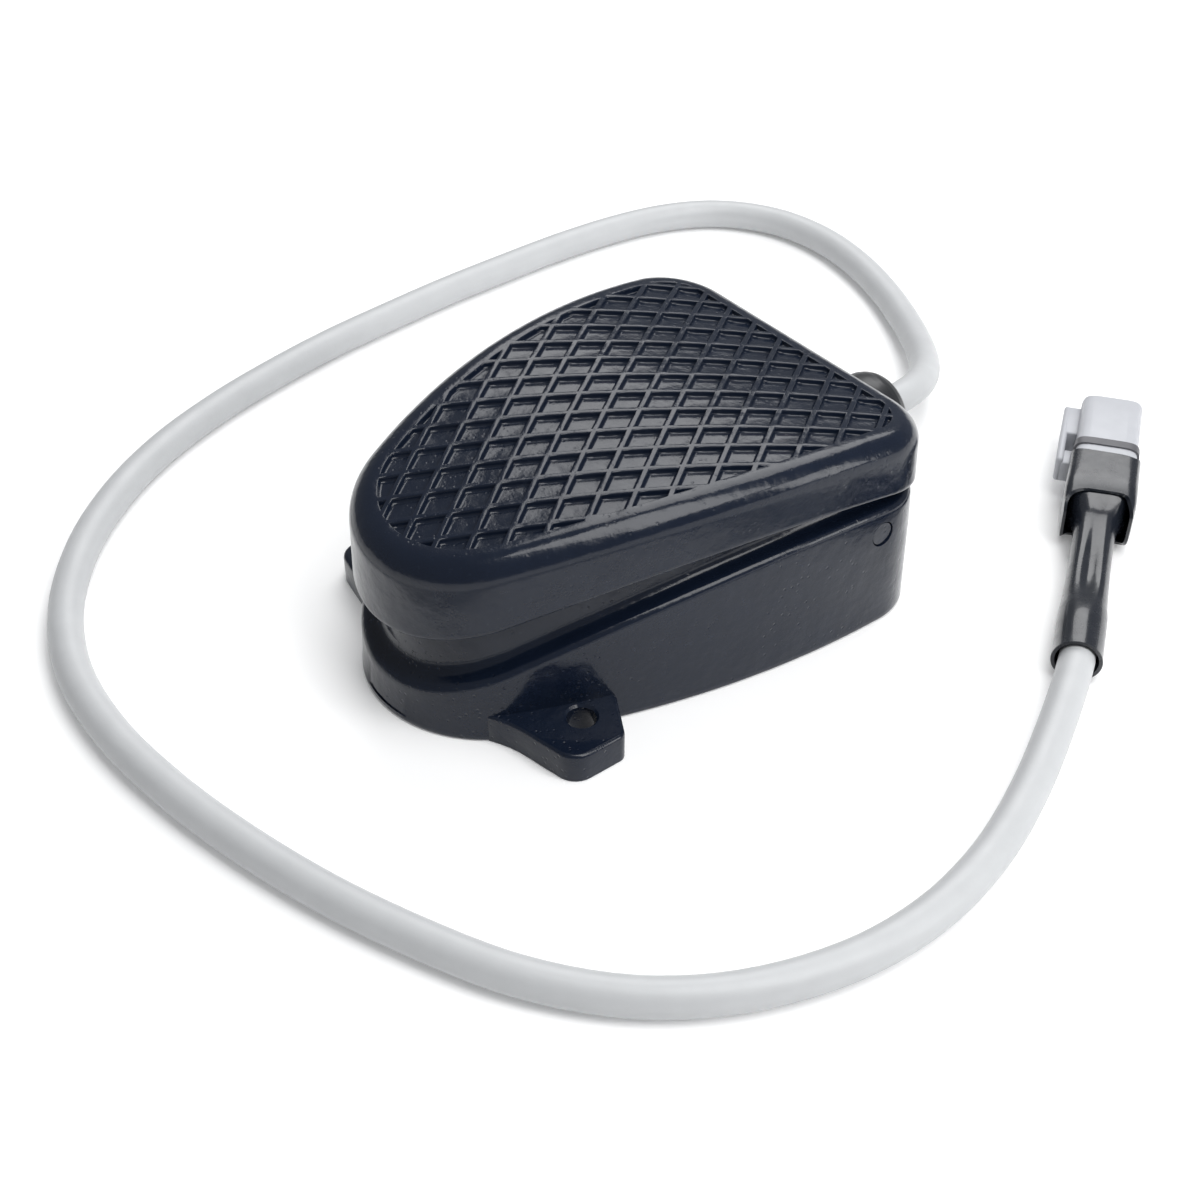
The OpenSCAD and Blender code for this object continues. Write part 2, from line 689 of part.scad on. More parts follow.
module pan_screw(length) {
    cylinder(h = length, r = m3);
    translate([0, 0, -1.8]) difference() {
        cylinder(h = 1.8, r = 2.8);
        translate([-0.4, -2, -0.1]) cube([0.8, 4, 0.9]);
        translate([-2, -0.4, -0.1]) cube([4, 0.8, 0.9]);
    }
}

module bracket_screws() {
    color(steel) for (p = bracket_points) translate([p.x, p.y, flange_z - bracket_t])
        pan_screw(bracket_t + 3);
}

module switch_screws() {
    color(steel) for (h = mount_holes) translate([switch_x + bracket_t, h.x, h.y])
        rotate([0, -90, 0]) pan_screw(switch_w + bracket_t + 3.2);
}

module switch_nuts() {
    color(steel) for (h = mount_holes) translate([-switch_x, h.x, h.y]) rotate([0, -90, 0])
        hex_nut(0, 0, 0, 5.5, 2.4, m3);
}

module core_wires() {
    wire_r = 0.9;
    away = -switch_x - 5.6;
    end_y = switch_front - 7;
    start = tail_y - 0.6;
    color("white") core([[-1.8, start, gland_z], [-5, start - 2, gland_z - 0.2],
        [away, start - 3, gland_z - 1], [away - 1, start - 9, gland_z - 2.2]], 8, away, end_y,
        wire_r);
    color("black") core([[1.8, start, gland_z], [0, start - 2, gland_z - 1.8],
        [-5, start - 2.6, gland_z - 3.4], [away, start - 3.6, gland_z - 5],
        [away - 1, start - 9, gland_z - 7]], 3.4, away, end_y, wire_r);
}

// One core: from the cable's end, past the switch, and round to a terminal at height high
module core(first, high, away, end_y, wire_r) {
    tube(smooth(concat(first, [[away, end_y + 6, switch_z + high + 0.6],
        [away + 4, end_y - 1.5, switch_z + high], [-3.2, end_y - 2.6, switch_z + high],
        [-0.6, end_y - 1.4, switch_z + high], [0, end_y, switch_z + high]]), 2), wire_r, 8);
}

module inner_cable() {
    color(cable_grey) rod_y(tail_y, gland_end - 1.02, cable_r);
}

module cable_clamp() {
    color(steel) difference() {
        union() {
            rod_y(clamp_y - 3, clamp_y + 3, clamp_r);
            box([2, clamp_x + 4], [clamp_y - 3, clamp_y + 3], [clamp_z, clamp_z + clamp_t]);
        }
        rod_y(clamp_y - 4, clamp_y + 4, cable_r);
        rod_z(clamp_x, clamp_y, clamp_z - 1, clamp_z + 3, m3);
    }
}

module clamp_screw() {
    color(steel) translate([clamp_x, clamp_y, clamp_z]) pan_screw(clamp_t + 4);
}

module gland_body() {
    color(black_plastic) difference() {
        union() {
            rod_y(rear_reach - base_wall - 6.4, seat_y + 2, thread_r);
            rod_y(seat_y + washer_t, seat_y + washer_t + body_hex, hex_r, 6);
            rod_y(nut_start - 1, nut_start + 10, neck_r);
        }
        rod_y(rear_reach - 20, gland_end, cable_r + 0.4);
        rod_y(nut_start + 1, gland_end, seal_r + 0.1);
    }
}

module gland_washer() {
    color(rubber) difference() {
        rod_y(seat_y, seat_y + washer_t, gland_af / 2);
        rod_y(seat_y - 1, seat_y + 2, thread_r);
    }
}

module gland_seal() {
    color(rubber) difference() {
        rod_y(nut_start + 1, nut_start + 11.5, seal_r);
        rod_y(nut_start, nut_start + 12, cable_r);
    }
}

// Dome nut of the gland: a hexagon with chamfered corners and a rounded, tapering nose
module gland_nut() {
    nose = gland_end - nut_start - nut_hex;
    color(black_plastic) difference() {
        union() {
            intersection() {
                rod_y(nut_start, nut_start + nut_hex, hex_r, 6);
                translate([0, nut_start, gland_z]) rotate([-90, 0, 0]) rotate_extrude()
                    polygon([[0, 0], [hex_r - 1, 0], [hex_r, 1], [hex_r, nut_hex - 1.5],
                        [hex_r - 1.8, nut_hex], [0, nut_hex]]);
            }
            translate([0, nut_start + nut_hex - 0.5, gland_z]) rotate([-90, 0, 0])
                rotate_extrude() polygon(concat([[0, 0], [gland_af / 2 - 0.8, 0]],
                    [for (a = [0:15:75]) [gland_af / 2 - 4.8 + 4 * cos(a), nose - 6 + 6 * sin(a)]],
                    [[cable_r + 2, nose + 0.3], [0, nose + 0.3]]));
        }
        rod_y(nut_start - 1, nut_start + nut_hex + 3, neck_r + 0.05);
        rod_y(nut_start, gland_end + 1, cable_r + 0.9);
    }
}

module gland_locknut() {
    inner = rear_reach - base_wall - chamber_lean;
    color(black_plastic) difference() {
        rod_y(inner - 5, inner, locknut_af / 2 / cos(30), 6);
        rod_y(inner - 6, inner + 1, thread_r);
    }
}

module base_cover() {
    color(steel) difference() {
        plate(rim_w + cover_play, 0, cover_t);
        for (p = cover_points) {
            rod_z(p.x, p.y, -1, cover_t + 1, cover_screw_r + 0.2);
            translate([p.x, p.y, -0.01]) cylinder(h = 1.8, r1 = 4, r2 = cover_screw_r + 0.2);
        }
    }
}

module cover_gasket() {
    color(rubber) difference() {
        union() {
            difference() {
                plate(rim_w + cover_play, cover_t, chamber_z);
                plate(base_wall - 0.2, 0, chamber_z + 1);
            }
            for (p = cover_points) rod_z(p.x, p.y, cover_t, chamber_z, boss_r);
        }
        for (p = cover_points) rod_z(p.x, p.y, 0, chamber_z + 1, cover_screw_r + 0.2);
    }
}

module cover_screws() {
    color(steel) for (p = cover_points) translate([p.x, p.y, 0]) difference() {
        union() {
            translate([0, 0, 0.1]) cylinder(h = 1.7, r1 = 3.8, r2 = cover_screw_r);
            translate([0, 0, 1]) cylinder(h = chamber_z + p[2] - 1.5, r = cover_screw_r);
        }
        translate([0, 0, -1]) cylinder(h = 2.2, r = 1.4, $fn = 6);
    }
}

module cable() {
    color(cable_grey) tube(smooth(cord_points, 2), cable_r, 10);
}

// ---- Parts on the far end of the lead ----
module on_plug() {
    translate([plug_at.x, plug_at.y, 0]) rotate([0, 0, plug_turn]) children();
}

// Section of the sleeve: [along, half width, half height, middle height, squareness]
sleeve_line = [[0, 5.6, 5.5, 5.5, 2], [6, 5.5, 5.4, 5.5, 2], [15, 5.5, 5.3, 5.5, 2],
    [22, 5, 4.7, 5.8, 2], [32, 4.7, 4.4, 6.4, 2], [42, 4.9, 4.6, 7.2, 2.2],
    [47, 6.6, 6, 7.8, 3], [51, 8.3, 7.5, 8, 5], [58, 8.6, 7.9, 8.1, 7], [67, 8.6, 7.9, 8.1, 7]];
function lobe(v, e) = sign(v) * pow(abs(v), 2 / e);
function section(s, w, n) = [for (k = [0:n - 1]) let (a = 360 * k / n)
    [(s[1] - w) * lobe(cos(a), s[4]), s[0], s[3] + (s[2] - w) * lobe(sin(a), s[4])]];
module loft(sections, w, n) {
    last = len(sections) - 1;
    points = [for (s = sections) each section(s, w, n)];
    walls = [for (i = [0:last - 1]) for (k = [0:n - 1])
        let (a = i * n + k, b = i * n + (k + 1) % n) each [[a, b + n, a + n], [a, b, b + n]]];
    polyhedron(points, concat(walls, [[for (k = [n - 1:-1:0]) k]],
        [[for (k = [0:n - 1]) last * n + k]]));
}

module shrink_sleeve() {
    wall = 0.8;
    sides = 32;
    last = len(sleeve_line) - 1;
    color(black_plastic) on_plug() difference() {
        loft(sleeve_line, 0, sides);
        loft([for (i = [0:last]) let (s = sleeve_line[i])
            [i == 0 ? -1 : i == last ? s[0] + 1 : s[0], s[1], s[2], s[3], s[4]]], wall, sides);
    }
}

module plug_wires() {
    color("white") on_plug() tube([[-2, bury + 0.2, 6.2], [-2.1, 22, 6.3], [-2.2, 34, 6.8],
        [-2.4, 46, 7.6], [-contact_x, 56, housing_mid], [-contact_x, 66, housing_mid]], 1.1, 8);
    color("black") on_plug() tube([[2, bury + 0.2, 6.2], [2.1, 22, 6.3], [2.2, 34, 6.8],
        [2.4, 46, 7.6], [contact_x, 56, housing_mid], [contact_x, 66, housing_mid]], 1.1, 8);
}

// A bar with round long edges
module round_bar(x, y, z, r) {
    difference() {
        union() {
            box([x[0] + r, x[1] - r], y, z);
            box(x, y, [z[0] + r, z[1] - r]);
            for (cx = [x[0] + r, x[1] - r]) for (cz = [z[0] + r, z[1] - r])
                translate([cx, y[0], cz]) rotate([-90, 0, 0]) cylinder(h = y[1] - y[0], r = r);
        }
        children();
    }
}

module connector_housing() {
    hw = plug_w / 2;
    mouth = housing_end - 16;
    color(grey_plastic) on_plug() {
        round_bar([-hw, hw], [housing_y, housing_end], [housing_low, housing_top], 2.4) {
            round_bar([-hw + shell_wall, hw - shell_wall], [mouth, housing_end + 1],
                [housing_low + shell_wall, housing_top - shell_wall], 1.4);
            box([-5.6, 5.6], [housing_y - 1, housing_y + 6], [housing_mid - 4, housing_mid + 4]);
            both_sides() translate([contact_x, housing_y, housing_mid]) rotate([-90, 0, 0])
                cylinder(h = plug_len, r = contact_r + 0.2);
        }
        difference() {
            round_bar([-hw + shell_wall + core_gap, hw - shell_wall - core_gap],
                [mouth - 1, housing_end - 3],
                [housing_low + shell_wall + core_gap, housing_top - shell_wall - core_gap], 1.2);
            both_sides() translate([contact_x, housing_y, housing_mid]) rotate([-90, 0, 0])
                cylinder(h = plug_len, r = contact_r + 0.2);
            box([-4.2, 4.2], [housing_end - 6, housing_end], [housing_mid - 2.2, housing_mid + 2.2]);
        }
        latch(hw);
    }
}

// Moulded latch: a bridge that stands off the housing's side
module latch(hw) {
    arm = [housing_mid - 3.4, housing_mid + 3.4];
    box([-hw - 4, -hw - 2.2], [housing_y + 7, housing_end - 2], arm);
    box([-hw - 3, -hw + 0.5], [housing_y + 7, housing_y + 10], arm);
    box([-hw - 3, -hw + 0.5], [housing_end - 8, housing_end - 5.5], arm);
}

module connector_seal() {
    color(rubber) on_plug() difference() {
        box([-5.6, 5.6], [housing_y + 0.5, housing_y + 6], [housing_mid - 4, housing_mid + 4]);
        both_sides() translate([contact_x, housing_y - 1, housing_mid]) rotate([-90, 0, 0])
            cylinder(h = 10, r = 1.15);
    }
}

module connector_contacts() {
    color(brass) on_plug() both_sides() difference() {
        translate([contact_x, housing_y + 8, housing_mid]) rotate([-90, 0, 0])
            cylinder(h = plug_len - 15, r = contact_r);
        translate([contact_x, housing_end - 12, housing_mid]) rotate([-90, 0, 0])
            cylinder(h = 6, r = 0.6);
    }
}

module connector_lock() {
    color("orange") on_plug() difference() {
        box([-4.1, 4.1], [housing_end - 5.9, housing_end - 3.6], [housing_mid - 2.1,
            housing_mid + 2.1]);
        both_sides() translate([contact_x, housing_end - 7, housing_mid]) rotate([-90, 0, 0])
            cylinder(h = 5, r = 0.8);
    }
}

base_casting();
pedal_casting();
hinge_pins();
hinge_bushes();
return_spring();
stop_buffers();
adjuster_screw();
adjuster_nut();
push_rod();
rod_guide();
rod_seal();
switch_body();
switch_plunger();
switch_lever();
lever_pin();
switch_terminals();
switch_bracket();
bracket_screws();
switch_screws();
switch_nuts();
core_wires();
inner_cable();
cable_clamp();
clamp_screw();
gland_body();
gland_washer();
gland_seal();
gland_nut();
gland_locknut();
base_cover();
cover_gasket();
cover_screws();
cable();
shrink_sleeve();
plug_wires();
connector_housing();
connector_seal();
connector_contacts();
connector_lock();
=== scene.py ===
import math

import bmesh
import bpy
from mathutils import Matrix, Vector
from mathutils.geometry import delaunay_2d_cdt


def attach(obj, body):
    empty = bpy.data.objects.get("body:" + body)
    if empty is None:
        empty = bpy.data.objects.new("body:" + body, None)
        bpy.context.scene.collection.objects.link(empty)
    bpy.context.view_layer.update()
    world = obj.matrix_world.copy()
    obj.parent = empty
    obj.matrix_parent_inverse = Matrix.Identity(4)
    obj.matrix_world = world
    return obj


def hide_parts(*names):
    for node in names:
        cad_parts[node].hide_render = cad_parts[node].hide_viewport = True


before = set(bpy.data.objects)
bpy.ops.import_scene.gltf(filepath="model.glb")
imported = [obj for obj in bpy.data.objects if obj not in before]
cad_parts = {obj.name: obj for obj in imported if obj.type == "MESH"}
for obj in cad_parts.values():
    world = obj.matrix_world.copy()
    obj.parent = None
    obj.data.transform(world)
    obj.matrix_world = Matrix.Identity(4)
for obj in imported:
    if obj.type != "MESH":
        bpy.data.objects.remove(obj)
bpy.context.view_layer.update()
MM = 0.001

# ---- Sizes, in millimetres, in the part's own frame ----
# Outline seen from above, and its points along the nose, side and corner arcs
HALF_W, TOE_Y, REAR_Y = 45.5, -27.0, 94.0
CORNER_R, SIDE_R = 16.0, 210.0
OUTLINE_STEPS, BORDER_STEPS = (22, 26, 16), (14, 16, 10)
# Side curves, each an arc: place of its highest point, height there and radius
CROWN = (40.0, 51.5, 280.0)
SKIRT = (43.0, 38.2, 190.0)
LEDGE = (61.0, 32.0, 187.0)
UPSTAND = (46.0, 40.4, 175.0)
# Pedal shell, the lip of its skirt, and its tread
EDGE_R, DRAFT, SKIRT_WALL, ROOF_WALL, LIP = 5.0, 0.3, 3.0, 4.6, 0.6
BORDER, CELL_W, CELL_L = 6.4, 8.7, 12.4
# Base shell
LEDGE_EDGE, LEDGE_W, UPSTAND_WALL, BASE_DRAFT = 1.5, 5.5, 3.0, 0.6
DECK_DROP, DECK_WALL, BASE_WALL, RIM_W, CHAMBER_Z = 1.5, 3.0, 6.0, 2.5, 3.0
# Hinge: axis, pin and bush, the pedal's lugs, and the wells of the base that they turn in
HINGE_Y, HINGE_Z, PIN_R, PIN_PLAY, BUSH_R = 76.0, 25.0, 3.0, 0.03, 4.03
LUG_IN, LUG_OUT, LUG_R, LUG_HALF = 29.25, 35.75, 7.0, 5.0
WELL_IN, WELL_OUT, WELL_FRONT, WELL_REAR, WELL_FLOOR = 28.25, 36.75, 66.5, 85.0, 16.5
WEB_X, WEB_FRONT = 24.75, 63.0
# Return spring, push rod and stop buffers
SPRING_Y, SEAT_R, SPIGOT_R = 15.0, 11.0, 6.35
ROD_Y, GUIDE_R, GUIDE_BOSS_R, ROD_PAD_R = 48.0, 4.53, 8.0, 6.0
BUFFER_X, BUFFER_Y, BUFFER_SEAT_R, BUFFER_PAD_R = 15.0, 4.0, 6.5, 7.0
# Lower and upper end of what stands on the deck, and of what hangs from the roof
SPRING_SEAT_Z, SPIGOT_Z = (21.9, 27.6), (27.2, 31.0)
BUFFER_SEAT_Z, GUIDE_BOSS_Z = (20.5, 23.9), (26.2, 30.85)
ROOF_SEAT_Z, ROOF_SPIGOT_Z = (44.3, 46.0), (41.3, 44.8)
BUFFER_PAD_Z, ROD_PAD_Z = (43.5, 45.5), (43.4, 47.2)
# Ribs under the roof: inner and outer face, where they start, and their lower edge; and half
# the length of the rib across them
RIB_IN, RIB_OUT, RIB_FRONT, RIB_Z, CROSS_RIB = 19.0, 22.0, 14.0, 41.0, 30.0
# Fixing ear: hole, thickness, rounding of its upper edge, and the hole's countersink
HOLE_X, HOLE_R, EAR_T, EAR_EDGE, SINK = 35.0, 3.25, 7.0, 0.9, 1.1
# Gland, cable, and the connector's housing
GLAND_Z, GLAND_R, GLAND_SEAT_R, CABLE_R, CABLE_SIDES = 16.0, 8.13, 12.5, 4.0, 24
HOUSING_Y, HOUSING_END, HOUSING_LOW, HOUSING_TOP, PLUG_HALF = 60.5, 93.5, 1.1, 14.9, 7.5
# Points round a ring of the sleeve, the hood or the housing
RING = 64

# ---- Outline seen from above: nose arc, side arc, corner arc, all tangent ----
APEX_Y = REAR_Y - CORNER_R
SIDE_CX = HALF_W - SIDE_R
REACH = APEX_Y - TOE_Y
NOSE_R = (SIDE_R ** 2 - SIDE_CX ** 2 - REACH ** 2) / (2 * (SIDE_R - REACH))
NOSE_Y = TOE_Y + NOSE_R
NOSE_END = math.atan2(NOSE_Y - APEX_Y, -SIDE_CX)


def half_line(d, steps):
    """The right half of the outline, inset by d, from toe to rear."""
    arcs = ((0, NOSE_Y, NOSE_R - d, -math.pi / 2, NOSE_END, steps[0], 0),
            (SIDE_CX, APEX_Y, SIDE_R - d, NOSE_END, 0, steps[1], 1),
            (HALF_W - CORNER_R, APEX_Y, CORNER_R - d, 0, math.pi / 2, steps[2], 1))
    return [(cx + r * math.cos(a0 + (a1 - a0) * i / n), cy + r * math.sin(a0 + (a1 - a0) * i / n))
            for cx, cy, r, a0, a1, n, first in arcs for i in range(first, n + 1)]


def outline(d, steps=OUTLINE_STEPS):
    """The whole outline, inset by d, once round from the toe."""
    h = half_line(d, steps)
    return h + [(-x, y) for x, y in h[:0:-1]]


def height(curve, y):
    """Height of a side curve at y; a curve with no radius is level."""
    middle, top, r = curve
    return top if r == 0 else top - r + math.sqrt(r ** 2 - (y - middle) ** 2)


def edge_room(x, y, d):
    """Distance from a point in to the outline inset by d."""
    x = abs(x)
    if math.atan2(y - APEX_Y, x - SIDE_CX) < NOSE_END:
        return NOSE_R - d - math.hypot(x, y - NOSE_Y)
    if y > APEX_Y and x > HALF_W - CORNER_R:
        return CORNER_R - d - math.hypot(x - HALF_W + CORNER_R, y - APEX_Y)
    if y > APEX_Y:
        return REAR_Y - d - y
    side = SIDE_R - d - math.hypot(x - SIDE_CX, y - APEX_Y)
    return min(side, REAR_Y - d - y)


# ---- Mesh helpers ----
def level(z):
    return (0.0, z, 0.0)


def link(name, data):
    obj = bpy.data.objects.new(name, data)
    bpy.context.scene.collection.objects.link(obj)
    return obj


def fill(mesh, bm):
    """Moves bm into mesh, with its faces turned outwards."""
    bmesh.ops.recalc_face_normals(bm, faces=bm.faces)
    bm.to_mesh(mesh)
    bm.free()
    return mesh


def soften(mesh, angle):
    """Shades smooth, with the edges sharper than angle kept sharp."""
    for p in mesh.polygons:
        p.use_smooth = True
    mesh.set_sharp_from_angle(angle=math.radians(angle))


def new_object(name, bm, body, smooth=40):
    mesh = fill(bpy.data.meshes.new(name), bm)
    soften(mesh, smooth)
    obj = link(name, mesh)
    if body:
        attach(obj, body)
    return obj


def join_rings(bm, low, high):
    n = len(low)
    for k in range(n):
        bm.faces.new((low[k], low[(k + 1) % n], high[(k + 1) % n], high[k]))


def cap(bm, loop):
    """Closes a ring of the outline with rows from side to side."""
    n = len(loop)
    bm.faces.new((loop[0], loop[1], loop[n - 1]))
    for k in range(1, sum(OUTLINE_STEPS)):
        bm.faces.new((loop[k], loop[k + 1], loop[n - k - 1], loop[n - k]))


def skin(bm, rings, caps=True):
    """Skins rings of the outline, each [inset, side curve, rise], into a closed solid."""
    loops = []
    for d, curve, rise in rings:
        loops.append([bm.verts.new((x * MM, y * MM, (height(curve, y) + rise) * MM))
                      for x, y in outline(d)])
    for low, high in zip(loops, loops[1:]):
        join_rings(bm, low, high)
    if caps:
        cap(bm, loops[0])
        cap(bm, loops[-1])
    return loops


def add_box(bm, x, y, z):
    m = Matrix.Translation(Vector(((x[0] + x[1]) / 2, (y[0] + y[1]) / 2, (z[0] + z[1]) / 2)) * MM)
    m = m @ Matrix.Diagonal(Vector((x[1] - x[0], y[1] - y[0], z[1] - z[0])) * MM).to_4x4()
    return bmesh.ops.create_cube(bm, size=1, matrix=m)["verts"]


def add_cylinder(bm, start, end, r, sides=48, r2=None):
    a, b = Vector(start) * MM, Vector(end) * MM
    turn = (b - a).to_track_quat("Z", "Y").to_matrix().to_4x4()
    bmesh.ops.create_cone(bm, cap_ends=True, segments=sides, radius1=r * MM,
                          radius2=(r if r2 is None else r2) * MM, depth=(b - a).length,
                          matrix=Matrix.Translation((a + b) / 2) @ turn)


def add_post(bm, x, y, z, r):
    """An upright cylinder between the two heights of z."""
    add_cylinder(bm, (x, y, z[0]), (x, y, z[1]), r)


def bake(obj, smooth=40):
    """Turns what the modifiers make into the object's own plain mesh."""
    graph = bpy.context.evaluated_depsgraph_get()
    graph.update()
    mesh = bpy.data.meshes.new_from_object(obj.evaluated_get(graph))
    old = obj.data
    obj.modifiers.clear()
    obj.data = mesh
    bpy.data.meshes.remove(old)
    soften(mesh, smooth)


def combine(obj, tool, op="DIFFERENCE", overlaps=True):
    """Applies a boolean with the object tool, and removes tool."""
    mod = obj.modifiers.new("cut", "BOOLEAN")
    mod.operation, mod.solver, mod.use_self, mod.object = op, "EXACT", overlaps, tool
    bake(obj)
    mesh = tool.data
    bpy.data.objects.remove(tool)
    bpy.data.meshes.remove(mesh)


def carve(obj, build, op="DIFFERENCE"):
    """Applies a boolean with a scratch mesh that build() fills."""
    bm = bmesh.new()
    build(bm)
    combine(obj, link("cutter", fill(bpy.data.meshes.new("cutter"), bm)), op)


# ---- Camera ----
cam_data = bpy.data.cameras.new("camera")
cam_data.lens = 57.0
cam_data.sensor_width = 36.0
cam_data.clip_start = 0.01
cam = link("camera", cam_data)
cam.location = (0.2665, -0.1774, 0.2789)
cam.rotation_euler = Vector((-0.6062, 0.4775, -0.6360)).to_track_quat("-Z", "Y").to_euler()
bpy.context.scene.camera = cam


# ---- Node helpers for materials ----
class Tree:
    """Builds a material's node tree: node(kind, socket values or links, settings)."""

    def __init__(self, name):
        self.material = bpy.data.materials.new(name)
        self.material.use_nodes = True
        self.nodes = self.material.node_tree.nodes
        self.links = self.material.node_tree.links
        self.nodes.clear()
        self.out = self.nodes.new("ShaderNodeOutputMaterial")
        self.coords = self.nodes.new("ShaderNodeTexCoord").outputs["Object"]

    def node(self, kind, inputs=None, **settings):
        n = self.nodes.new("ShaderNode" + kind)
        for key, value in settings.items():
            setattr(n, key, value)
        for key, value in (inputs or {}).items():
            self.put(n.inputs[key], value)
        return n

    def put(self, socket, value):
        if isinstance(value, bpy.types.NodeSocket):
            self.links.new(value, socket)
        else:
            socket.default_value = value

    def noise(self, scale, detail=3.0, rough=0.55):
        return self.node("TexNoise", {"Vector": self.coords, "Scale": scale,
                                      "Detail": detail, "Roughness": rough}).outputs["Fac"]

    def cells(self, scale):
        return self.node("TexVoronoi", {"Vector": self.coords, "Scale": scale},
                         feature="F1").outputs["Distance"]

    def ramp(self, value, low, high, out=(0.0, 1.0)):
        return self.node("MapRange", {"Value": value, "From Min": low, "From Max": high,
                                      "To Min": out[0], "To Max": out[1]}).outputs["Result"]

    def mix(self, fac, a, b):
        n = self.node("Mix", {"Factor": fac}, data_type="RGBA")
        self.put(n.inputs[6], a)
        self.put(n.inputs[7], b)
        return n.outputs[2]

    def math(self, op, a, b):
        n = self.node("Math", operation=op)
        self.put(n.inputs[0], a)
        self.put(n.inputs[1], b)
        return n.outputs[0]

    def bump(self, value, strength, distance, normal=None):
        inputs = {"Height": value, "Strength": strength, "Distance": distance}
        if normal:
            inputs["Normal"] = normal
        return self.node("Bump", inputs).outputs["Normal"]

    def finish(self, **sockets):
        shader = self.nodes.new("ShaderNodeBsdfPrincipled")
        for key, value in sockets.items():
            self.put(shader.inputs[key.replace("_", " ")], value)
        self.links.new(shader.outputs[0], self.out.inputs["Surface"])
        return self.material


def rgb(r, g, b):
    return (r, g, b, 1.0)


def casting(name, pit_amount):
    """Gloss paint over a cast surface: soft waviness, fine orange peel and open pits."""
    t = Tree(name)
    tint = t.mix(t.noise(90.0, 4.0), rgb(0.004, 0.007, 0.016), rgb(0.008, 0.013, 0.026))
    wear = t.ramp(t.noise(420.0, 5.0, 0.7), 0.62, 0.78)
    color = t.mix(wear, tint, rgb(0.016, 0.022, 0.036))
    peel = t.noise(1500.0, 2.0)
    wave = t.noise(160.0, 2.0)
    spots = t.ramp(t.cells(620.0), 0.10, 0.26, (0.0, 1.0))
    where = t.ramp(t.noise(70.0, 3.0, 0.6), 0.44, 0.62)
    pits = t.mix(t.math("MULTIPLY", where, pit_amount), rgb(1, 1, 1), spots)
    normal = t.bump(wave, 0.42, 0.0007)
    normal = t.bump(peel, 0.35, 0.00010, normal)
    normal = t.bump(pits, 0.9, 0.00024, normal)
    rough = t.ramp(t.noise(300.0, 4.0, 0.6), 0.3, 0.7, (0.14, 0.24))
    return t.finish(Base_Color=color, Roughness=rough, Metallic=0.0, IOR=1.5,
                    Specular_IOR_Level=0.24, Coat_Weight=0.25, Coat_Roughness=0.06,
                    Normal=normal)


def moulded(name, dark, light, rough, grain=900.0, depth=0.00004, coat=0.0):
    """Moulded plastic or rubber: a slight mottling and a fine grain."""
    t = Tree(name)
    color = t.mix(t.noise(140.0, 4.0), dark, light)
    normal = t.bump(t.noise(grain, 3.0), 0.5, depth)
    normal = t.bump(t.noise(90.0, 2.0), 0.25, 0.0003, normal)
    r = t.ramp(t.noise(260.0, 3.0), 0.3, 0.7, (rough - 0.05, rough + 0.07))
    return t.finish(Base_Color=color, Roughness=r, Coat_Weight=coat, Normal=normal)


def metal(name, dark, light, rough):
    """Machined or plated metal: fine turning marks and a little mottling."""
    t = Tree(name)
    color = t.mix(t.noise(220.0, 4.0), dark, light)
    normal = t.bump(t.noise(2600.0, 2.0), 0.3, 0.00003)
    r = t.ramp(t.noise(500.0, 3.0), 0.3, 0.7, (rough - 0.06, rough + 0.1))
    return t.finish(Base_Color=color, Metallic=1.0, Roughness=r, Normal=normal)


PAINT = casting("painted_casting", 0.55)
PAINT_TREAD = casting("painted_tread", 0.3)
STEEL = metal("zinc_steel", rgb(0.50, 0.51, 0.53), rgb(0.62, 0.63, 0.64), 0.32)
BRASS = metal("brass", rgb(0.60, 0.43, 0.17), rgb(0.72, 0.54, 0.24), 0.3)
RUBBER = moulded("rubber", rgb(0.012, 0.012, 0.013), rgb(0.024, 0.024, 0.025), 0.6)
BLACK = moulded("black_nylon", rgb(0.010, 0.011, 0.013), rgb(0.020, 0.021, 0.024), 0.34)
JACKET = moulded("cable_jacket", rgb(0.47, 0.48, 0.49), rgb(0.53, 0.54, 0.55), 0.42, 1400.0)
# Dark grey of the plug's rim: painted shade on its end face, whose own colour is the housing's
# grey
RIM_PAINTED_SHADE = moulded("rim_painted_shade", rgb(0.08, 0.08, 0.09), rgb(0.12, 0.12, 0.13), 0.4)
GREY = moulded("grey_nylon", rgb(0.42, 0.43, 0.46), rgb(0.50, 0.51, 0.54), 0.44, 1200.0)
SHRINK = moulded("shrink_tube", rgb(0.007, 0.009, 0.014), rgb(0.014, 0.017, 0.024), 0.24,
                 500.0, 0.00006, 0.3)
WIRE_WHITE = moulded("wire_white", rgb(0.66, 0.66, 0.65), rgb(0.74, 0.74, 0.73), 0.4)
ORANGE = moulded("orange_nylon", rgb(0.72, 0.20, 0.02), rgb(0.80, 0.26, 0.04), 0.42)

# ---- Lead ----
ROUTE = [(0, 121.6, 16), (-1, 130, 15.4), (-4.5, 139, 13.2), (-10, 147.5, 10.4),
         (-17.5, 155.5, 7.8), (-27, 163, 5.8), (-38.5, 170, 4.6), (-52, 176.5, 4.1),
         (-67, 181.5, 4), (-83, 184, 4), (-98, 182.5, 4), (-110, 177, 4), (-119.5, 168, 4),
         (-126, 155, 4), (-129.5, 139, 4), (-131, 120, 4), (-131, 100, 4), (-130.5, 80, 4),
         (-129, 60, 4), (-127, 40, 4), (-123.5, 20, 4), (-118.5, 0, 4), (-111, -20, 4),
         (-100.5, -38, 4), (-86, -54.5, 4), (-67.5, -68, 4), (-47, -76, 4), (-25, -78.5, 4),
         (-3, -77, 4), (19, -73, 4), (41, -67, 4), (62, -59, 4), (81, -49.5, 4),
         (97, -36.5, 4), (108.5, -20, 4), (115.5, 0, 4), (117, 20, 4), (113.5, 40, 4),
         (106, 60, 4.2), (96, 80, 5)]
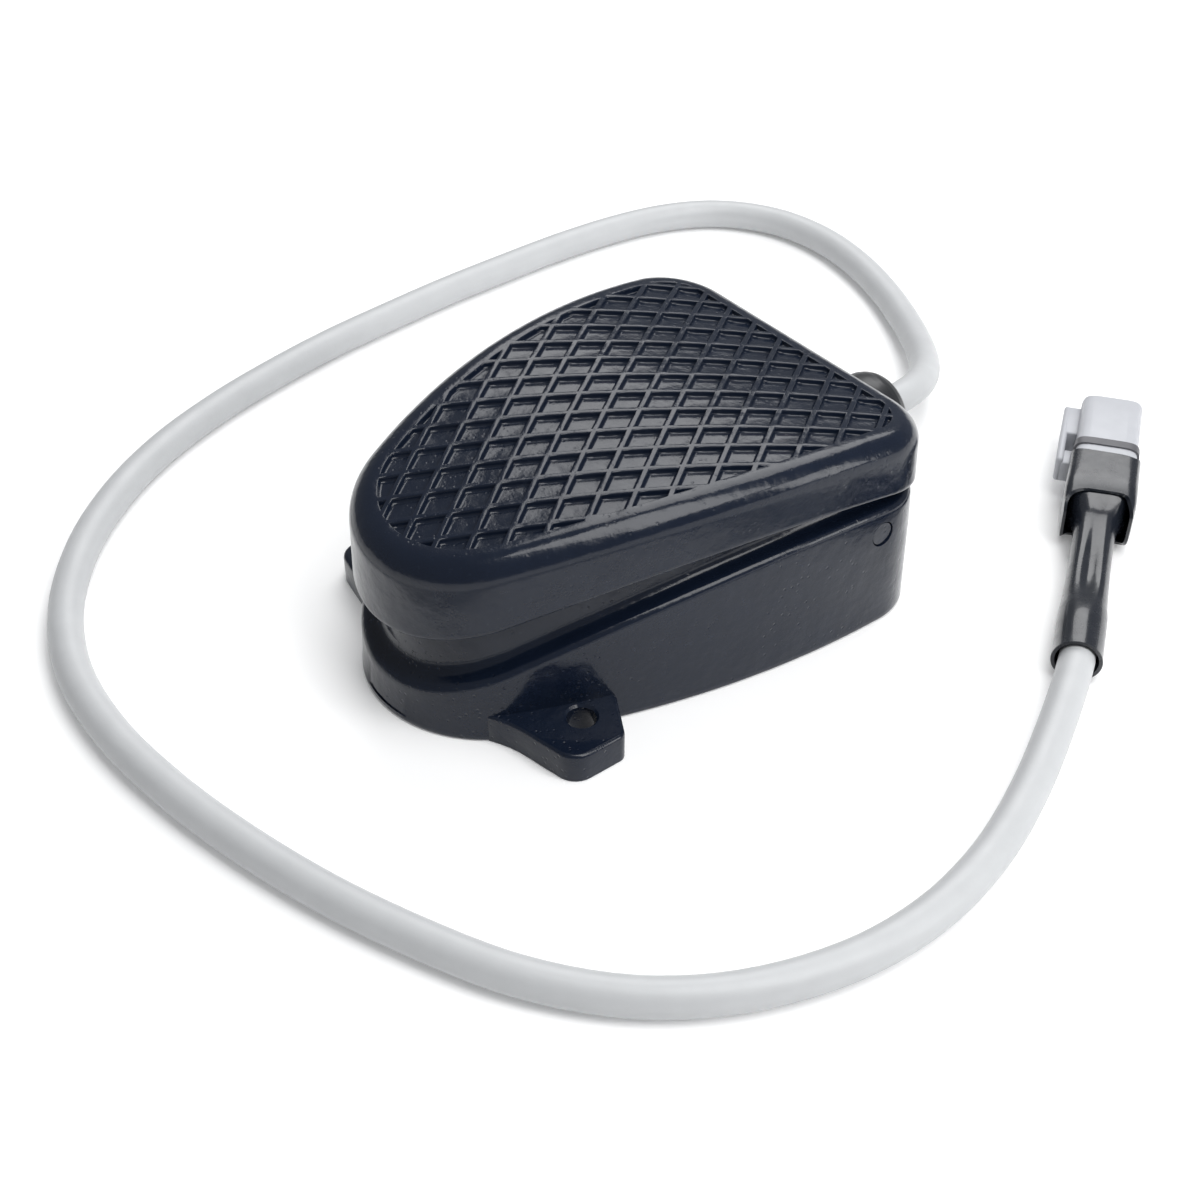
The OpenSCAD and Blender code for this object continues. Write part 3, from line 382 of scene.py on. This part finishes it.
PLUG_AT, PLUG_TURN, PLUG_Z, BURY = (86.5, 96.5), math.radians(36), 5.5, 12.0


def from_plug(x, y):
    """A point given on the plug's own line, in the part's frame."""
    c, d = math.cos(PLUG_TURN), math.sin(PLUG_TURN)
    return (PLUG_AT[0] + x * c - y * d, PLUG_AT[1] + x * d + y * c, PLUG_Z)


ROUTE += [from_plug(0, 0), from_plug(0, BURY)]


def smooth_line(points, n):
    """A smooth curve through the points, with n steps between each two."""
    pts = [Vector(p) for p in points]
    out = []
    for i in range(len(pts) - 1):
        a, b, c, d = pts[max(i - 1, 0)], pts[i], pts[i + 1], pts[min(i + 2, len(pts) - 1)]
        for k in range(n):
            t = k / n
            out.append(0.5 * (2 * b + (c - a) * t + (2 * a - 5 * b + 4 * c - d) * t * t
                              + (3 * b - a - 3 * c + d) * t ** 3))
    return out + [pts[-1]]


def sweep_tree():
    """Geometry nodes: sweeps a round section along a line of points."""
    tree = bpy.data.node_groups.new("cable_sweep", "GeometryNodeTree")
    face = tree.interface
    face.new_socket("Line", in_out="INPUT", socket_type="NodeSocketGeometry")
    for name, value in (("Radius", CABLE_R * MM), ("Sides", CABLE_SIDES)):
        kind = "NodeSocketInt" if name == "Sides" else "NodeSocketFloat"
        face.new_socket(name, in_out="INPUT", socket_type=kind).default_value = value
    face.new_socket("Jacket", in_out="INPUT", socket_type="NodeSocketMaterial")
    face.new_socket("Mesh", in_out="OUTPUT", socket_type="NodeSocketGeometry")
    kinds = ("NodeGroupInput", "GeometryNodeMeshToCurve", "GeometryNodeCurvePrimitiveCircle",
             "GeometryNodeCurveToMesh", "GeometryNodeRealizeInstances", "GeometryNodeSetMaterial",
             "NodeGroupOutput")
    given, curve, circle, sweep, real, paint, out = (tree.nodes.new(k) for k in kinds)
    sweep.inputs["Fill Caps"].default_value = True
    for a, b in ((given.outputs["Line"], curve.inputs["Mesh"]),
                 (given.outputs["Radius"], circle.inputs["Radius"]),
                 (given.outputs["Sides"], circle.inputs["Resolution"]),
                 (curve.outputs["Curve"], sweep.inputs["Curve"]),
                 (circle.outputs["Curve"], sweep.inputs["Profile Curve"]),
                 (sweep.outputs["Mesh"], real.inputs["Geometry"]),
                 (real.outputs["Geometry"], paint.inputs["Geometry"]),
                 (given.outputs["Jacket"], paint.inputs["Material"]),
                 (paint.outputs["Geometry"], out.inputs["Mesh"])):
        tree.links.new(a, b)
    return tree


def build_cable(line):
    """The lead's jacket along line, as one plain closed mesh."""
    mesh = bpy.data.meshes.new("cable_line")
    mesh.from_pydata([p * MM for p in line], [(i, i + 1) for i in range(len(line) - 1)], [])
    obj = link("cable_jacket", mesh)
    mod = obj.modifiers.new("sweep", "NODES")
    mod.node_group = sweep_tree()
    sockets = {item.name: item.identifier for item in mod.node_group.interface.items_tree
               if item.in_out == "INPUT"}
    mod[sockets["Radius"]] = CABLE_R * MM
    mod[sockets["Sides"]] = CABLE_SIDES
    mod[sockets["Jacket"]] = JACKET
    bake(obj)
    bm = bmesh.new()
    bm.from_mesh(obj.data)
    bmesh.ops.remove_doubles(bm, verts=bm.verts, dist=1e-6)
    fill(obj.data, bm)
    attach(obj, "base")
    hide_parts("cable")
    return obj


cable_line = smooth_line(ROUTE, 5)
cable = build_cable(cable_line)


# ---- Pedal: outer shell, tread and inner roof in one closed mesh ----
def clip(poly, a, b):
    """Keeps the part of a convex polygon on the left of the line from a to b."""
    def side(p):
        return (b[0] - a[0]) * (p[1] - a[1]) - (b[1] - a[1]) * (p[0] - a[0])
    out = []
    for i, p in enumerate(poly):
        q = poly[(i + 1) % len(poly)]
        sp, sq = side(p), side(q)
        if sp >= 0:
            out.append(p)
        if (sp > 0 > sq) or (sp < 0 < sq):
            t = sp / (sp - sq)
            out.append((p[0] + t * (q[0] - p[0]), p[1] + t * (q[1] - p[1])))
    return out


def pocket_centres():
    """Centres of the diamond cells that reach inside the border."""
    for row in range(-10, 11):
        for col in range(-6, 7):
            x = (col + (abs(row) % 2) / 2) * CELL_W
            y = CROWN[0] + row * CELL_L / 2
            if TOE_Y < y < REAR_Y and edge_room(x, y, BORDER) > -4:
                yield x, y


# Profile of a pocket: distance in from the rib's middle line, and depth
POCKET_PROFILE = [(0.36, 0.0), (0.48, 0.03), (0.58, 0.12), (0.66, 0.30), (0.72, 0.58),
                  (0.82, 0.92), (0.92, 1.10), (1.08, 1.20), (1.36, 1.22)]
# Smallest area of a pocket's mouth and of its lower steps, and its longest edge
MOUTH_AREA, STEP_AREA, POCKET_EDGE = 0.9, 0.1, 2.6
HALF = (CELL_W / 2, CELL_L / 2)
SPAN = HALF[0] * HALF[1] / math.hypot(*HALF)


def pocket_ring(x, y, inset):
    """Outline of a pocket at one step of its profile, trimmed to the border."""
    s = (SPAN - inset) / SPAN
    poly = [(x, y - HALF[1] * s), (x + HALF[0] * s, y), (x, y + HALF[1] * s),
            (x - HALF[0] * s, y)]
    if edge_room(x, y, BORDER) < max(HALF) + 1:
        border = outline(BORDER + inset - POCKET_PROFILE[0][0], BORDER_STEPS)
        for i, a in enumerate(border):
            if poly:
                poly = clip(poly, a, border[(i + 1) % len(border)])
    return poly


def area(poly):
    return 0.5 * sum(a[0] * b[1] - b[0] * a[1] for a, b in zip(poly, poly[1:] + poly[:1]))


def split_edges(poly, longest):
    """Adds points so that no edge is longer than longest."""
    out = []
    for a, b in zip(poly, poly[1:] + poly[:1]):
        n = max(1, math.ceil(math.hypot(b[0] - a[0], b[1] - a[1]) / longest))
        out += [(a[0] + (b[0] - a[0]) * k / n, a[1] + (b[1] - a[1]) * k / n) for k in range(n)]
    return out


def tread_mesh(bm, rim):
    """Fills the top inside the ring rim: every pocket edge is an edge of the mesh."""
    points, edges, depth = [], [], []

    def add_ring(poly, d):
        first = len(points)
        points.extend(Vector(p) for p in poly)
        depth.extend([d] * len(poly))
        edges.extend((first + i, first + (i + 1) % len(poly)) for i in range(len(poly)))

    rim_points = [(v.co.x / MM, v.co.y / MM) for v in rim]
    add_ring(rim_points, 0.0)
    for x, y in pocket_centres():
        for inset, d in POCKET_PROFILE:
            poly = pocket_ring(x, y, inset)
            smallest = MOUTH_AREA if inset == POCKET_PROFILE[0][0] else STEP_AREA
            if len(poly) < 3 or area(poly) < smallest:
                break
            add_ring(split_edges(poly, POCKET_EDGE), d)
    verts, _, faces, origin, _, _ = delaunay_2d_cdt(points, edges, [], 1, 1e-4)
    made = []
    for p, source in zip(verts, origin):
        if source and source[0] < len(rim):
            made.append(rim[source[0]])
            continue
        d = depth[source[0]] if source else 0.0
        made.append(bm.verts.new((p.x * MM, p.y * MM, (height(CROWN, p.y) - d) * MM)))
    for f in faces:
        corners = [made[i] for i in f]
        if len(set(corners)) == len(corners) and not bm.faces.get(corners):
            bm.faces.new(corners)


def round_edge(inset, curve, r, steps):
    """Rings of a rounded upper edge, a quarter turn in steps."""
    bends = [math.radians(90 // steps * k) for k in range(steps + 1)]
    return [(inset + r * (1 - math.cos(a)), curve, r * (math.sin(a) - 1)) for a in bends]


def build_pedal():
    """Pedal shell: under the roof, round the lip, up the skirt and over the tread."""
    bm = bmesh.new()
    rings = [(SKIRT_WALL + 2.2, CROWN, -ROOF_WALL), (SKIRT_WALL + 0.9, CROWN, -ROOF_WALL - 0.9),
             (SKIRT_WALL + 0.2, CROWN, -ROOF_WALL - 3), (SKIRT_WALL - 0.1, SKIRT, 0.7),
             (SKIRT_WALL - 0.2, SKIRT, 0.25), (SKIRT_WALL - 0.6, SKIRT, 0.0),
             (LIP + 0.4, SKIRT, 0.0), (LIP * 0.5, SKIRT, 0.08), (LIP * 0.15, SKIRT, 0.28),
             (0.0, SKIRT, LIP), (0.02, SKIRT, LIP + 0.6), (DRAFT - 0.02, CROWN, -EDGE_R - 0.5)]
    rings += round_edge(DRAFT, CROWN, EDGE_R, 10)
    rings += [(DRAFT + EDGE_R + 0.3, CROWN, 0.0)]
    loops = skin(bm, rings, caps=False)
    cap(bm, loops[0])
    tread_mesh(bm, loops[-1])
    pedal = new_object("pedal_shell", bm, "pedal", 60)
    pedal.data.materials.append(PAINT_TREAD)
    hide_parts("pedal_casting")


build_pedal()


# ---- Base: shell with ledge, upstand and deck; chamber, wells and holes are cut out ----
GLAND_HOLE = ((0, 84, GLAND_Z), (0, 96, GLAND_Z), GLAND_R, 64)


def build_base():
    """Base shell with its ledge and upstand, hollow below the deck and bored."""
    bm = bmesh.new()
    deck_in = LEDGE_W + UPSTAND_WALL
    rings = [(RIM_W, level(CHAMBER_Z), 0.0), (RIM_W, level(0), 0.15),
             (RIM_W - 0.15, level(0), 0.0), (0.5, level(0), 0.0), (0.15, level(0), 0.15),
             (0.0, level(0), 0.5),
             (BASE_DRAFT * 0.06, level(1.4), 0.0), (BASE_DRAFT * 0.5, LEDGE, -9.0),
             (BASE_DRAFT - 0.03, LEDGE, -LEDGE_EDGE - 0.5)]
    rings += round_edge(BASE_DRAFT, LEDGE, LEDGE_EDGE, 6)
    rings += [(LEDGE_W - 2.1, LEDGE, 0.0), (LEDGE_W - 1.35, LEDGE, 0.14),
              (LEDGE_W - 0.68, LEDGE, 0.56), (LEDGE_W - 0.2, LEDGE, 1.25), (LEDGE_W, LEDGE, 2.1),
             (LEDGE_W + 0.2, UPSTAND, -0.7), (LEDGE_W + 0.4, UPSTAND, -0.2),
             (LEDGE_W + 0.9, UPSTAND, 0.0), (deck_in - 0.7, UPSTAND, 0.0),
             (deck_in - 0.2, UPSTAND, -0.5), (deck_in, LEDGE, -DECK_DROP + 0.4),
             (deck_in + 0.4, LEDGE, -DECK_DROP)]
    skin(bm, rings)
    base = new_object("base_shell", bm, "base")

    def holes(b):
        for s in (-1, 1):
            add_box(b, sorted((s * WELL_IN, s * WELL_OUT)), (WELL_FRONT, WELL_REAR),
                    (WELL_FLOOR, LEDGE[1] + 1))
            add_cylinder(b, (s * (WEB_X - 0.1), HINGE_Y, HINGE_Z),
                         (s * (HALF_W + 1), HINGE_Y, HINGE_Z), PIN_R + PIN_PLAY, 64)
        add_post(b, 0, ROD_Y, (24, 34), GUIDE_R)
        add_cylinder(b, *GLAND_HOLE)

    def webs(b):
        for s in (-1, 1):
            add_box(b, sorted((s * WEB_X, s * 60)), (WEB_FRONT, 120), (-5, 50))

    bm = bmesh.new()
    skin(bm, [(BASE_WALL, level(1), 0.0), (BASE_WALL + 0.3, LEDGE, -DECK_DROP - DECK_WALL)])
    chamber = new_object("chamber", bm, None)
    carve(chamber, webs)
    combine(base, chamber, overlaps=False)
    carve(base, holes)
    base.data.materials.append(PAINT)
    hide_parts("base_casting")


build_base()


def bored_boss(name, outside, hole):
    """A painted boss of the base with a hole, each (start, end, radius, sides)."""
    bm = bmesh.new()
    add_cylinder(bm, *outside)
    boss = new_object(name, bm, "base")
    carve(boss, lambda b: add_cylinder(b, *hole))
    boss.data.materials.append(PAINT)


def build_bosses():
    """Seats and bosses on the deck, and the flat round the gland's hole."""
    bm = bmesh.new()
    add_post(bm, 0, SPRING_Y, SPRING_SEAT_Z, SEAT_R)
    add_post(bm, 0, SPRING_Y, SPIGOT_Z, SPIGOT_R)
    for s in (-1, 1):
        add_post(bm, s * BUFFER_X, BUFFER_Y, BUFFER_SEAT_Z, BUFFER_SEAT_R)
    seats = new_object("deck_bosses", bm, "base")
    seats.data.materials.append(PAINT)
    low, high = GUIDE_BOSS_Z
    bored_boss("guide_boss", ((0, ROD_Y, low), (0, ROD_Y, high), GUIDE_BOSS_R, 48),
               ((0, ROD_Y, 20), (0, ROD_Y, 34), GUIDE_R, 48))
    bored_boss("gland_seat", ((0, 90.5, GLAND_Z), (0, 94.4, GLAND_Z), GLAND_SEAT_R, 64),
               GLAND_HOLE)


build_bosses()


def arc(x, y, r, first, count):
    """Points on an arc in steps of 12 degrees, from the angle first on."""
    angles = [math.radians(first + 12 * k) for k in range(count)]
    return [(x + r * math.cos(a), y + r * math.sin(a)) for a in angles]


def build_ear(side):
    """Fixing ear with rounded edges and a bored hole."""
    line = [(23, -15.4), (25.2, -14.2), (27.5, -13.2), (29.8, -12.5), (33, -11.8), (36, -11.3)]
    line += arc(40, -5.4, 5, -84, 8) + arc(42.4, 2.4, 2.6, 0, 6)
    line += [(34.6, 9.8), (20, 9.8), (20, -15.4)]
    bm = bmesh.new()
    low = [bm.verts.new((side * x * MM, y * MM, 0)) for x, y in line]
    high = [bm.verts.new((side * x * MM, y * MM, EAR_T * MM)) for x, y in line]
    join_rings(bm, low, high)
    bm.faces.new(low)
    bm.faces.new(high)
    bmesh.ops.recalc_face_normals(bm, faces=bm.faces)
    rim = [e for e in bm.edges if all(v in high for v in e.verts)]
    bmesh.ops.bevel(bm, geom=rim, offset=EAR_EDGE * MM, segments=4, profile=0.5, affect="EDGES")
    name = "ear_right" if side > 0 else "ear_left"
    ear = new_object(name, bm, "base", 50)

    def hole(b):
        x = side * HOLE_X
        add_post(b, x, 0, (-1, EAR_T + 1), HOLE_R)
        add_cylinder(b, (x, 0, EAR_T - 0.5), (x, 0, EAR_T + 0.6), HOLE_R, r2=HOLE_R + SINK)

    carve(ear, hole)
    ear.data.materials.append(PAINT)


for side in (1, -1):
    build_ear(side)


def build_pedal_inside():
    """Hinge lugs, ribs, seats and bosses under the pedal's roof."""
    for s, name in ((1, "lug_right"), (-1, "lug_left")):
        bm = bmesh.new()
        xs = sorted((s * LUG_IN, s * LUG_OUT))
        add_box(bm, xs, (HINGE_Y - LUG_HALF, HINGE_Y + LUG_HALF), (HINGE_Z, 45.5))
        obj = new_object(name, bm, "pedal")
        carve(obj, lambda b: add_cylinder(b, (xs[0], HINGE_Y, HINGE_Z), (xs[1], HINGE_Y, HINGE_Z),
                                          LUG_R), "UNION")
        carve(obj, lambda b: add_box(b, xs, (66.8, HINGE_Y), (18.2, 22)), "UNION")
        carve(obj, lambda b: add_cylinder(b, (xs[0] - 1, HINGE_Y, HINGE_Z),
                                          (xs[1] + 1, HINGE_Y, HINGE_Z), BUSH_R))
        obj.data.materials.append(PAINT)
    bm = bmesh.new()
    for s in (-1, 1):
        add_box(bm, sorted((s * RIB_IN, s * RIB_OUT)), (RIB_FRONT, HINGE_Y + 2), (RIB_Z, 46))
        add_post(bm, s * BUFFER_X, BUFFER_Y, BUFFER_PAD_Z, BUFFER_PAD_R)
    add_box(bm, (-CROSS_RIB, CROSS_RIB), (HINGE_Y - 2, HINGE_Y + 2), (RIB_Z, 45.5))
    add_post(bm, 0, SPRING_Y, ROOF_SEAT_Z, SEAT_R)
    add_post(bm, 0, SPRING_Y, ROOF_SPIGOT_Z, SPIGOT_R)
    add_post(bm, 0, ROD_Y, ROD_PAD_Z, ROD_PAD_R)
    obj = new_object("pedal_ribs", bm, "pedal")
    obj.data.materials.append(PAINT)


build_pedal_inside()


# ---- Pieces on the far end of the lead ----
def on_plug(obj):
    """Moves a piece made along Y to its place on the plug's line."""
    turn = Matrix.Translation((PLUG_AT[0] * MM, PLUG_AT[1] * MM, 0)) @ Matrix.Rotation(
        PLUG_TURN, 4, "Z")
    obj.data.transform(turn)
    obj.data.update()
    return obj


# Sleeve: along, half width, half height, middle height, squareness, waist between its wires
SLEEVE = [(0, 5.6, 5.5, 5.5, 2, 0), (2, 5.5, 5.45, 5.5, 2, 0), (6, 5.5, 5.4, 5.5, 2, 0),
          (11, 5.55, 5.4, 5.5, 2, 0), (15, 5.5, 5.3, 5.5, 2, 0.05), (19, 5.2, 5.0, 5.6, 2, 0.2),
          (24, 5.0, 4.7, 5.8, 2, 0.34), (30, 4.85, 4.5, 6.1, 2, 0.36),
          (36, 4.8, 4.45, 6.5, 2, 0.3), (42, 4.9, 4.5, 6.9, 2.1, 0.2),
          (47, 5.2, 4.8, 7.2, 2.3, 0.12), (50, 6.0, 5.6, 7.5, 3, 0.06),
          (53, 7.0, 6.6, 7.8, 4.5, 0), (56, 7.4, 6.9, 8, 6, 0)]
# Hood: along, half width, half height, middle height, how far its lower edge hangs at the sides
HOOD = [(51.5, 7.9, 7.2, 7.8, 4.6), (53.5, 8.3, 7.6, 7.9, 3.4), (56, 8.45, 7.75, 8, 1.6),
        (60, 8.45, 7.8, 8, 0.3), (64, 8.45, 7.8, 8, 0.0), (67, 8.45, 7.8, 8, 0.0)]


SLEEVE_WALL, HOOD_WALL, SQUARE = 0.8, 0.7, 6.0


def section(squareness):
    """Angle, x and z round a unit ring: a circle at squareness 2, squarer above it."""
    def lobe(v):
        return math.copysign(abs(v) ** (2 / squareness), v)
    for k in range(RING):
        a = 2 * math.pi * (k + 0.5) / RING
        yield a, lobe(math.cos(a)), lobe(math.sin(a))


def sleeve_ring(row, wall):
    """Ring of the sleeve, drawn in between the two wires under it."""
    along, hw, hh, mid, squareness, waist = row
    out = []
    for _, x, z in section(squareness):
        pinch = 1 - waist * math.exp(-(x / 0.42) ** 2)
        out.append(Vector(((hw - wall) * x, along, mid + (hh - wall) * z * pinch)) * MM)
    return out


def ease(rows, n):
    """Smooth rows through the given ones, with n steps between each two."""
    out = []
    for i in range(len(rows) - 1):
        a, b, c, d = (rows[j] for j in (max(i - 1, 0), i, i + 1, min(i + 2, len(rows) - 1)))
        for k in range(n):
            t = k / n
            out.append(tuple(0.5 * (2 * q + (r - p) * t + (2 * p - 5 * q + 4 * r - w) * t * t
                                    + (3 * q - p - 3 * r + w) * t ** 3)
                             for p, q, r, w in zip(a, b, c, d)))
    return out + [rows[-1]]


def hood_ring(row, wall):
    """Ring of the hood: its lower edge hangs at the sides and its upper edge is wavy."""
    along, hw, hh, mid, hang = row
    wave = max(0.0, along - 60) / 7
    out = []
    for a, x, z in section(SQUARE):
        shift = wave * (0.45 * math.sin(3 * a + 0.6) + 0.25 * math.sin(5 * a))
        shift -= hang * (abs(math.cos(a)) ** 1.5 - 0.2 + 0.12 * math.sin(4 * a + 1))
        flare = 1 + 0.02 * hang * math.sin(5 * a + 0.7) / 4
        out.append(Vector(((hw - wall) * x * flare, along + shift, mid + (hh - wall) * z)) * MM)
    return out


def tube(name, rows, ring, wall):
    """Shrink tube: a closed wall between an outer and an inner skin over the same rows."""
    bm = bmesh.new()
    rows = ease(rows, 4)
    outer, inner = ([[bm.verts.new(v) for v in ring(row, depth)] for row in rows]
                    for depth in (0.0, wall))
    loops = outer + inner[::-1]
    for low, high in zip(loops, loops[1:] + loops[:1]):
        join_rings(bm, low, high)
    obj = on_plug(new_object(name, bm, "base", 50))
    obj.data.materials.append(SHRINK)
    return obj


def build_sleeve():
    """Sleeve over the wires, and its hood over the housing's end."""
    sleeve = tube("shrink_tube", SLEEVE, sleeve_ring, SLEEVE_WALL)
    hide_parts("shrink_sleeve")
    return [sleeve, tube("shrink_hood", HOOD, hood_ring, HOOD_WALL)]


sleeve = build_sleeve()


def bar_ring(bm, hw, low, high, along):
    """A closed ring of a rounded bar's section."""
    return [bm.verts.new(Vector((hw * x, along, (low + high) / 2 + (high - low) / 2 * z)) * MM)
            for _, x, z in section(SQUARE)]


def bar(bm, rows):
    """A solid over rings, each [half width, low, high, along]."""
    rings = [bar_ring(bm, *row) for row in rows]
    for low, high in zip(rings, rings[1:]):
        join_rings(bm, low, high)
    bm.faces.new(rings[0][::-1])
    bm.faces.new(rings[-1])


def soft_box(bm, x, y, z, r):
    """A box with edges rounded by r."""
    verts = add_box(bm, x, y, z)
    edges = list({e for v in verts for e in v.link_edges})
    bmesh.ops.bevel(bm, geom=edges, offset=r * MM, segments=3, profile=0.5, affect="EDGES")


def build_housing():
    """Connector housing with its open mouth and core, the latch on its side, and its rim."""
    hw, low, high, start, end = PLUG_HALF, HOUSING_LOW, HOUSING_TOP, HOUSING_Y, HOUSING_END
    mid = (low + high) / 2
    bm = bmesh.new()
    bar(bm, [(hw - 0.5, low + 0.5, high - 0.5, start), (hw, low, high, start + 0.6),
             (hw, low, high, end - 1.3), (hw - 0.2, low + 0.2, high - 0.2, end - 0.6),
             (hw - 0.6, low + 0.6, high - 0.6, end - 0.15), (hw - 1.0, low + 1.0, high - 1.0, end),
             (hw - 1.3, low + 1.3, high - 1.3, end), (hw - 1.6, low + 1.6, high - 1.6, end - 0.4),
             (hw - 1.6, low + 1.6, high - 1.6, end - 16)])
    housing = new_object("plug_housing", bm, "base", 35)

    def core(b):
        bar(b, [(hw - 2.9, low + 2.9, high - 2.9, end - 17),
                (hw - 2.9, low + 2.9, high - 2.9, end - 3.4),
                (hw - 3.2, low + 3.2, high - 3.2, end - 3)])

    def holes(b):
        add_box(b, (-5.65, 5.65), (start - 1, start + 6.05), (mid - 4.05, mid + 4.05))
        add_box(b, (-4.2, 4.2), (end - 6, end), (mid - 2.2, mid + 2.2))
        for x in (-2.6, 2.6):
            add_cylinder(b, (x, start, mid), (x, end, mid), 1.3, 32)

    carve(housing, core, "UNION")
    carve(housing, holes)
    on_plug(housing)
    housing.data.materials.append(GREY)
    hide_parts("connector_housing")

    bm = bmesh.new()
    soft_box(bm, (-hw - 4, -hw - 2.3), (start + 7, end - 2), (mid - 3.4, mid + 3.4), 0.8)
    soft_box(bm, (-hw - 3.4, -hw + 0.8), (end - 14, end - 2.2), (mid - 3.3, mid + 3.3), 0.5)
    soft_box(bm, (-hw - 3.4, -hw + 0.8), (start + 7.1, start + 13), (mid - 3.3, mid + 2.2), 0.5)
    latch = on_plug(new_object("plug_latch", bm, "base", 35))
    latch.data.materials.append(GREY)

    # Rim of the housing, coloured dark grey as painted shade over the housing's own grey
    bm = bmesh.new()
    outer, inner = (hw + 0.45, low - 0.45, high + 0.45), (hw - 0.4, low + 0.4, high - 0.4)
    front, back = start + 10, start + 12.6
    rings = [bar_ring(bm, *size, along) for size, along in
             ((outer, front), (outer, back), (inner, back), (inner, front))]
    for a, b in zip(rings, rings[1:] + rings[:1]):
        join_rings(bm, a, b)
    rim = on_plug(new_object("plug_rim", bm, "base", 35))
    rim.data.materials.append(RIM_PAINTED_SHADE)
    return [housing, latch, rim]


plug_pieces = build_housing()

# ---- Materials of the CAD nodes that stay as they are ----
FINISHES = {
    PAINT: ["hinge_pins"],
    STEEL: ["return_spring", "push_rod", "switch_lever", "lever_pin",
            "adjuster_screw", "adjuster_nut", "switch_bracket", "bracket_screws",
            "switch_screws", "switch_nuts", "cable_clamp", "clamp_screw", "base_cover",
            "cover_screws"],
    BRASS: ["hinge_bushes", "rod_guide", "switch_terminals", "switch_plunger",
            "connector_contacts"],
    RUBBER: ["stop_buffers", "rod_seal", "gland_washer", "gland_seal", "cover_gasket",
             "connector_seal"],
    BLACK: ["switch_body", "gland_body", "gland_nut", "gland_locknut"],
    JACKET: ["inner_cable"],
    WIRE_WHITE: ["core_wires", "plug_wires"],
    ORANGE: ["connector_lock"],
}
for material, names in FINISHES.items():
    for name in names:
        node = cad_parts[name]
        for slot in node.material_slots:
            slot.material = material

# ---- Floor, light and background ----
bm = bmesh.new()
bmesh.ops.create_grid(bm, x_segments=8, y_segments=8, size=1.5)
floor = new_object("floor", bm, None)
floor.location = (0, 0, -0.0002)
t = Tree("floor_paper")
shade = t.mix(t.noise(3.0, 2.0), rgb(0.90, 0.90, 0.90), rgb(0.93, 0.93, 0.93))
floor.data.materials.append(t.finish(Base_Color=shade, Roughness=0.7,
                                     Emission_Color=rgb(1, 1, 1), Emission_Strength=0.14,
                                     Normal=t.bump(t.noise(300.0), 0.05, 0.0002)))


def area_light(name, position, target, size, power):
    """A soft rectangular lamp that faces target."""
    data = bpy.data.lights.new(name, "AREA")
    data.shape = "RECTANGLE"
    data.size, data.size_y = size
    data.energy = power
    light = link(name, data)
    light.location = position
    light.rotation_euler = (Vector(target) - Vector(position)).to_track_quat("-Z", "Y").to_euler()


area_light("top", (0.42, 0.12, 0.88), (0, 0.03, 0), (0.5, 1.0), 8.5)
area_light("back", (-0.45, 0.62, 0.85), (0, 0.03, 0), (0.8, 0.7), 6.5)
area_light("right", (0.85, 0.55, 0.35), (0, 0.03, 0.02), (0.3, 0.5), 2.5)

world = bpy.data.worlds.new("studio")
bpy.context.scene.world = world
world.use_nodes = True
nodes, links = world.node_tree.nodes, world.node_tree.links
nodes.clear()


def background(color, strength):
    node = nodes.new("ShaderNodeBackground")
    node.inputs["Color"].default_value = color
    node.inputs["Strength"].default_value = strength
    return node


# The object is lit by a soft grey, and the camera sees white behind it
path = nodes.new("ShaderNodeLightPath")
soft, white = background(rgb(0.95, 0.97, 1.0), 0.26), background(rgb(1, 1, 1), 1.0)
blend = nodes.new("ShaderNodeMixShader")
links.new(path.outputs["Is Camera Ray"], blend.inputs[0])
links.new(soft.outputs[0], blend.inputs[1])
links.new(white.outputs[0], blend.inputs[2])
links.new(blend.outputs[0], nodes.new("ShaderNodeOutputWorld").inputs["Surface"])
bpy.context.scene.view_settings.view_transform = "Standard"
